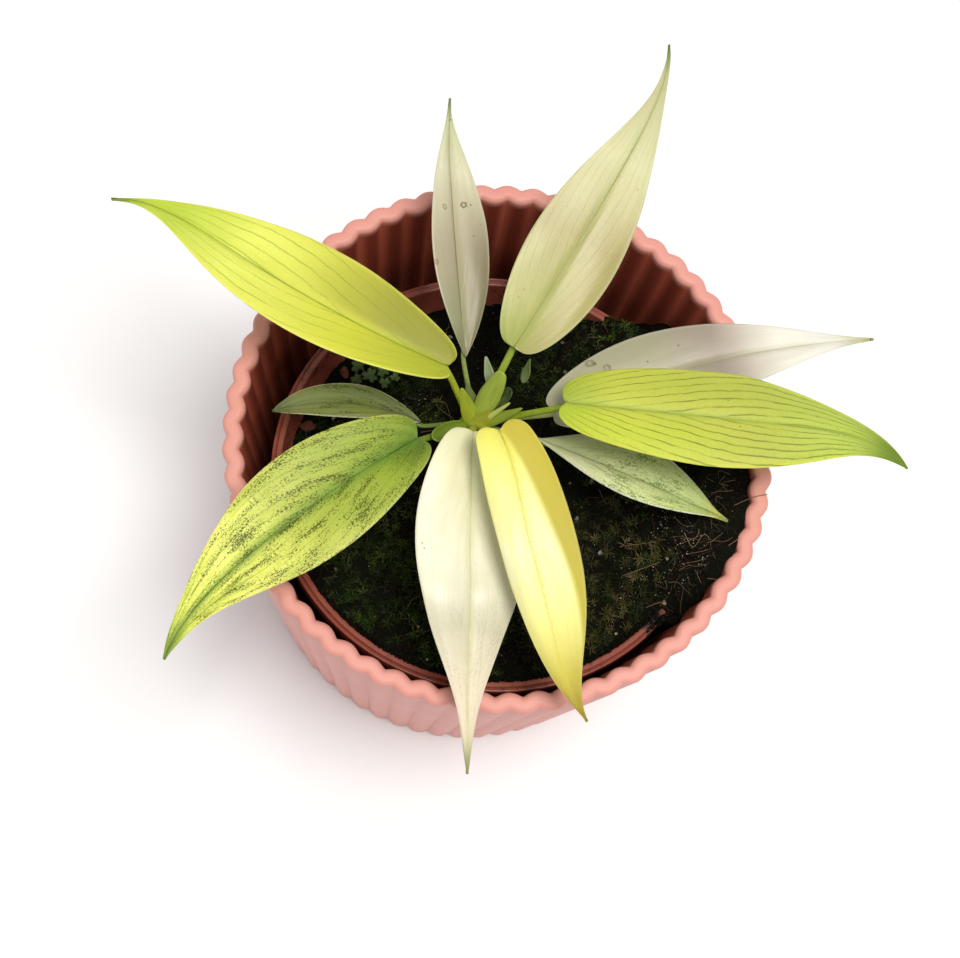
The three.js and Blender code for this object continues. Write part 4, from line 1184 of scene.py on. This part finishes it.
    # The ground colour runs from foot to tip, clouded by the plant's uneven green.
    ground = node("ValToRGB", t)
    fill_ramp(ground, leaf["shades"])
    cloud_at = node("VectorMath", flow, (0.22, 0.06, 1), operation="MULTIPLY")
    clouds = node("TexNoise", cloud_at, Scale=1, Detail=4, Roughness=0.6)
    cloudy = node("MapRange", clouds, 0.42, 0.7, 0, leaf["cloud"][1])
    layers = [(leaf["cloud"][0], cloudy)]
    for half_name, out in (("left", 1), ("right", -1)):
        if half_name in leaf:
            side_shade, most, until, start, full, drift = leaf[half_name]
            begin = node("Math", t, drift * out, start * out, operation="MULTIPLY_ADD")
            filled = node("Math", t, drift * out, full * out, operation="MULTIPLY_ADD")
            half = node("MapRange", across, begin, filled, 0, most, interpolation_type="SMOOTHSTEP")
            lasting = node("MapRange", t, until - 0.3, until + 0.1, 1, 0, interpolation_type="SMOOTHSTEP")
            half_share = node("Math", half, lasting, operation="MULTIPLY")
            layers.append((side_shade, half_share))
    margin = node("MapRange", apart, 0.92, 0.985, 0, leaf["edge"][1], interpolation_type="SMOOTHSTEP")
    tip = node("MapRange", t, leaf["tip"][1] - 0.08, min(leaf["tip"][1] + 0.08, 1), 0, 0.95,
        interpolation_type="SMOOTHSTEP")
    vein_share = node("Math", vein, leaf["vein"][1], operation="MULTIPLY")
    layers += [(zone_colour, zone), (leaf["vein"][0], net_share), (leaf["edge"][0], margin),
        (leaf["tip"][0], tip), (leaf["vein"][0], vein_share), (speckle_colour, flecks),
        (rib_colour, rib_line)]

    # Blemishes: small rings and dots where the tissue was bruised or bitten.
    for share, out, size, tone in leaf.get("blemishes", ()):
        centre = (out * blade_half_width(leaf, share) / MM, share * leaf["length"], seed)
        gap = node("VectorMath", here, centre, operation="DISTANCE")
        uneven_gap = node("Math", fleck, -1.6 * size, gap.outputs["Value"], operation="MULTIPLY_ADD")
        ring = RING_SHARE * size if size > LEAST_RING else 0
        off_ring = node("Math", uneven_gap, ring - 0.8 * size, operation="SUBTRACT")
        from_ring = node("Math", off_ring, operation="ABSOLUTE")
        mark = node("MapRange", from_ring, 0.1 * size, 0.9 * size - ring, 0.85, 0,
            interpolation_type="SMOOTHSTEP")
        layers.append((tone, mark))
    under = ground
    for tone, share in layers:
        under = node("MixRGB", share, under, linear(tone))

    # Cells a third of a millimetre across grain the skin, and the veins lie a little sunk in it.
    grain = node("TexNoise", here, Scale=2.6, Detail=2)
    relief = node("Math", line, -0.5, grain, operation="MULTIPLY_ADD")
    skin = node("Bump", Strength=0.25, Distance=0.1 * MM, Height=relief)
    clear = leaf.get("clear", 0)
    dull = 0.3 if clear else 0.46
    gloss = node("MapRange", clouds, 0.3, 0.7, dull, dull + 0.12)
    fill_sockets(shader, {"Base Color": under, "Normal": skin, "Roughness": gloss, "IOR": 1.42,
        "Transmission Weight": clear, "Subsurface Weight": 0 if clear else LEAF_GLOW,
        "Subsurface Radius": (1, 1, 0.45), "Subsurface Scale": 1.3 * MM})
    return material


for leaf in LEAVES:
    blade = shaped_grid(leaf["name"] + "_blade", BLADE_COLUMNS, BLADE_ROWS, blade_maker(leaf))
    finish_blade(leaf, blade)
    blade.data.materials.append(leaf_material(leaf))
    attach(blade, "root")
    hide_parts(leaf["name"])

# Stem. A short green stub grows out of the mix, and ten petioles leave it in a rosette. Each is thicker
# towards its foot, and runs on under its blade as the raised back of the midrib until it fades before the
# tip.
STUB_RADIUS = 4 * MM
STUB_TOP_RADII = (3.6, 3.1, 2.6, 2, 1.2)
STUB_FOOT = 75 * MM
PETIOLE_CHANNEL = 0.25
PETIOLE_SPREAD = 0.3
PETIOLE_LIFT = 0.3
PETIOLE_LEAD = 2.5 * MM
PETIOLE_FLARE = 2.5
PETIOLE_SAG = 0.1
PETIOLE_UNDERLAP = 1.5 * MM
PETIOLE_SIDES = 16
RIB_END = 0.8
RIB_STEPS = 22

# Each petiole's colour, and its radius in millimetres at the neck under the blade and at its foot.
PETIOLES = {
    "leaf_upper_left": ("#a8b432", 0.7, 1.3), "leaf_top": ("#8c9a58", 0.55, 0.9),
    "leaf_upper_right": ("#94a83c", 0.85, 1.2), "leaf_right_back": ("#b4c070", 0.55, 0.9),
    "leaf_right": ("#8ca028", 0.66, 1.5), "leaf_lower_right": ("#94a860", 0.65, 1),
    "leaf_front_right": ("#c8c840", 0.9, 1.6), "leaf_front": ("#a8b040", 0.9, 1.6),
    "leaf_lower_left": ("#6c8428", 0.7, 1.1), "leaf_left_small": ("#5c7030", 0.5, 0.8),
}


def petiole(leaf):
    """The petiole from the crown to the blade's foot, then its rib along the back of the blade."""
    along, _, up = blade_axes(leaf, 0)
    midrib = midrib_points(leaf)
    colour, neck, foot = PETIOLES[leaf["name"]]
    end = midrib[0] - up * (neck * MM + BLADE_THICKNESS / 2) + along * PETIOLE_UNDERLAP
    reach = end - CROWN
    low = CROWN + Vector((reach.x * PETIOLE_SPREAD, reach.y * PETIOLE_SPREAD, reach.z * PETIOLE_LIFT))
    high = end - along * PETIOLE_LEAD - UPRIGHT * reach.z * PETIOLE_SAG
    route = smooth_route([CROWN, low, high, end], steps=9)
    radii = []
    for k in range(len(route)):
        share = k / (len(route) - 1)
        radii.append((neck + (foot - neck) * (1 - share) ** PETIOLE_FLARE) * MM)
    for k in range(2, RIB_STEPS + 1):
        t = RIB_END * k / RIB_STEPS
        _, left, rib_up = blade_axes(leaf, t)
        rib = (neck * 0.8 * (1 - k / RIB_STEPS) ** 0.8 + 0.1) * MM
        shift = left * midrib_shift(leaf, t) * blade_half_width(leaf, t)
        route.append(midrib[round(t * MIDRIB_STEPS)] + shift - rib_up * (rib * 0.75 + BLADE_THICKNESS / 2))
        radii.append(rib)
    stalk = tube(leaf["name"] + "_petiole", route, radii, PETIOLE_SIDES, PETIOLE_CHANNEL)
    paint(stalk, linear(colour))
    return stalk


stalks = [petiole(leaf) for leaf in LEAVES]
stub_route = [Vector((CROWN.x, CROWN.y, STUB_FOOT)), CROWN - UPRIGHT * 6 * MM, CROWN + UPRIGHT * 3 * MM]
stub_radii = [STUB_RADIUS] * 8 + [radius * MM for radius in STUB_TOP_RADII]
stub = tube("stub", smooth_route(stub_route, steps=6), stub_radii, sides=24)
paint(stub, linear("#b4bc3c"))
stem = join_pieces([*stalks, stub], "stem_finish")

# Living stem: waxy and faintly ribbed along its length, with small darker freckles.
flesh, shader, node = new_material("living_green_stem")
place = node("TexCoord").outputs["Object"]
tone = node("Attribute", attribute_name="tone")
clouds = node("TexNoise", place, Scale=260, Detail=4)
darker = node("MapRange", clouds, 0.35, 0.7, 0, 0.45)
green = node("MixRGB", darker, tone, linear("#66801e"))
fine = node("TexNoise", place, Scale=1400, Detail=3)
speckle = node("MapRange", fine, 0.56, 0.7, 0, 0.4)
freckled = node("MixRGB", speckle, green, linear("#4c6420"))
skin = node("Bump", Strength=0.3, Distance=0.12 * MM, Height=fine)
fill_sockets(shader, {"Base Color": freckled, "Normal": skin, "Roughness": 0.38, "IOR": 1.42})
stem.data.materials.append(flesh)
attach(stem, "root")
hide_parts("stem_and_petioles")

# Sheaths. Thin bracts and wings that clasp the petioles' feet and once wrapped the leaves in the bud, with
# two small scale leaves at the stem.
SHEATH_THICKNESS = 0.4 * MM
SHEATH_WRAP = 75
SHEATH_COLUMNS = 18
SHEATH_ROWS = 26

# Each bract's foot and tip from the centre of the cover pot's rim, its width and its depth, all in
# millimetres, the foot's share of the width, how much slimmer it gets towards its tip, how late it rounds
# off, and its colour. A negative depth turns the hollow side down.
SHEATHS = [
    ((-7.3, 1.6, 1.5), (-5, 10.9, 12.5), 5.6, -1.4, 0.75, 0.3, 7, "#98aa42"),
    ((-7.6, 0.2, 0), (-15.1, -9.9, 9.8), 5.2, 2, 0.5, 0.05, 5, "#68801e"),
    ((-7.6, 0.6, 0), (-12.9, 3.4, 12.5), 4.2, -1, 1, 0.5, 3, "#a4b030"),
    ((-7.5, 2.8, -2), (-12.4, 7, 7.5), 3.8, -1, 0.9, 0.6, 3, "#6c7c50"),
    ((-6.8, 10, 4), (-10.2, 14.1, 9.5), 2.4, 0.8, 0.9, 0.5, 3, "#98a488"),
    ((0.3, 16.8, -6), (-0.1, 20.6, 1.6), 2.6, 0.8, 0.5, 0.6, 1.5, "#748a58"),
    # This bract lies deep under the leaves and is coloured near-black green: painted shade.
    ((-6.2, 4.6, -4), (-1.8, 12, 0.5), 4.8, 1, 0.6, 0.2, 4, "#1c2810"),
    ((-6.2, 0.4, 2), (-0.8, 5.3, 9.5), 1.2, -0.5, 1, 0.5, 3, "#bcc86c"),
    ((-6.6, 0.6, 0), (2.4, 4.3, 11.5), 3.2, -1.1, 1, 0.6, 3, "#8ea030"),
    ((-8.6, -1.2, 1), (-4.2, 2.6, 4.6), 4.6, -1.6, 0.8, 0.1, 6, "#8e921e"),
]


def sheath_maker(foot, tip, width, depth, clasp, slim, blunt):
    """The function that puts each corner of a bract's grid, with u across it and v from foot to tip."""
    foot, tip = from_rim(foot), from_rim(tip)
    ahead = (tip - foot).normalized()
    side = ahead.cross(UPRIGHT).normalized()
    lift = side.cross(ahead)
    half = width / 2 * MM
    depth *= MM

    def place_corner(u, v):
        open_share = clasp + (1 - clasp) * smoothstep(0, 0.5, v)
        share = open_share * (1 - slim * smoothstep(0.25, 1, v)) * (1 - v**blunt) ** 0.5
        share *= min(1, 0.2 + v * 8)
        angle = math.radians(SHEATH_WRAP) * (2 * u - 1)
        spot = foot.lerp(tip, v) - lift * math.sin(math.pi * v) * abs(depth) * 0.3
        rise = (1 - math.cos(angle)) * depth - depth * 0.3
        across = side * math.sin(angle) * half / math.sin(math.radians(SHEATH_WRAP))
        return spot + (across + lift * rise) * share

    return place_corner


bracts = []
for *shape, tone in SHEATHS:
    bracts.append(shaped_grid("bract", SHEATH_COLUMNS, SHEATH_ROWS, sheath_maker(*shape)))
    paint(bracts[-1], linear(tone))
sheaths = join_pieces(bracts, "sheath_bracts")
wall = sheaths.modifiers.new("wall", "SOLIDIFY")
wall.thickness = SHEATH_THICKNESS
wall.offset = 0
bpy.ops.object.modifier_apply(modifier=wall.name)
smoother = sheaths.modifiers.new("smoother", "SUBSURF")
smoother.levels = smoother.render_levels = 1
bpy.ops.object.modifier_apply(modifier=smoother.name)

# Bract skin: paler and more papery than the petioles, streaked along the bract and bleached at its margin.
papery, shader, node = new_material("papery_green_bract")
square = node("UVMap", uv_map="UVMap")
split = node("SeparateXYZ", square)
off_middle = node("Math", split, 2, -1, operation="MULTIPLY_ADD")
apart = node("Math", off_middle, operation="ABSOLUTE")
margin = node("MapRange", apart, 0.8, 1, 0, 0.36, interpolation_type="SMOOTHSTEP")
tone = node("Attribute", attribute_name="tone")
streak_at = node("VectorMath", square, (16, 2.5, 1), operation="MULTIPLY")
streaks = node("TexNoise", streak_at, Scale=1, Detail=4)
dark = node("MapRange", streaks, 0.4, 0.7, 0, 0.5)
streaked = node("MixRGB", dark, tone, linear("#6c8030"))
bleached = node("MixRGB", margin, streaked, linear("#b4bc98"), blend_type="DODGE")
ridges = node("Bump", Strength=0.3, Distance=0.12 * MM, Height=streaks)
fill_sockets(shader, {"Base Color": bleached, "Normal": ridges, "Roughness": 0.42})
sheaths.data.materials.append(papery)
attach(sheaths, "root")

# Studio. A pale floor that fills the view, one soft overhead lamp a little to the right, and a dim sky.
bpy.ops.object.select_all(action="DESELECT")
bpy.ops.mesh.primitive_plane_add(size=6)
floor = bpy.context.object
floor.name = "studio_floor"
paper, shader, node = new_material("matt_white_paper")
place = node("TexCoord").outputs["Object"]
fibres = node("TexNoise", place, Scale=40, Detail=4)
pulp = node("MixRGB", fibres, linear("#f2f6fb"), linear("#eef3f9"))
fill_sockets(shader, {"Base Color": pulp, "Roughness": 0.9})
floor.data.materials.append(paper)

LAMP_PLACE = Vector((0.2, -0.06, 1.25))
LAMP_POWER = 11.2
LAMP_SIZE = 0.45
lamp = bpy.data.objects.new("overhead_lamp", bpy.data.lights.new("overhead_lamp", "AREA"))
lamp.data.shape = "DISK"
lamp.data.size = LAMP_SIZE
lamp.data.energy = LAMP_POWER
lamp.data.color = linear("#fff8ee")[:3]
lamp.location = LAMP_PLACE
lamp.rotation_euler = (-LAMP_PLACE).to_track_quat("-Z", "Y").to_euler()
bpy.context.scene.collection.objects.link(lamp)
sky = bpy.data.worlds.new("studio_sky")
sky.use_nodes = True
sky.node_tree.nodes["Background"].inputs["Color"].default_value = linear("#fffcf8")
sky.node_tree.nodes["Background"].inputs["Strength"].default_value = 0.6
bpy.context.scene.world = sky
bpy.context.scene.view_settings.view_transform = "Standard"

# Camera. It looks steeply down on the plant from the front, as the photograph does, about 360 mm from the
# rim.
CAMERA_PLACE = Vector((1.4, -113.7, 457.2)) * MM
CAMERA_LOOK = Vector((-0.0077, 0.2841, -0.9588))
CAMERA_UP = Vector((-0.3467, 0.8986, 0.2690))
CAMERA_LENS = 55.6
camera = bpy.data.objects.new("camera", bpy.data.cameras.new("camera"))
right = CAMERA_LOOK.cross(CAMERA_UP).normalized()
upright = right.cross(CAMERA_LOOK).normalized()
turn = Matrix((right, upright, -CAMERA_LOOK.normalized())).transposed()
camera.matrix_world = Matrix.Translation(CAMERA_PLACE) @ turn.to_4x4()
camera.data.lens = CAMERA_LENS
camera.data.clip_start = 0.01
bpy.context.scene.collection.objects.link(camera)
bpy.context.scene.camera = camera
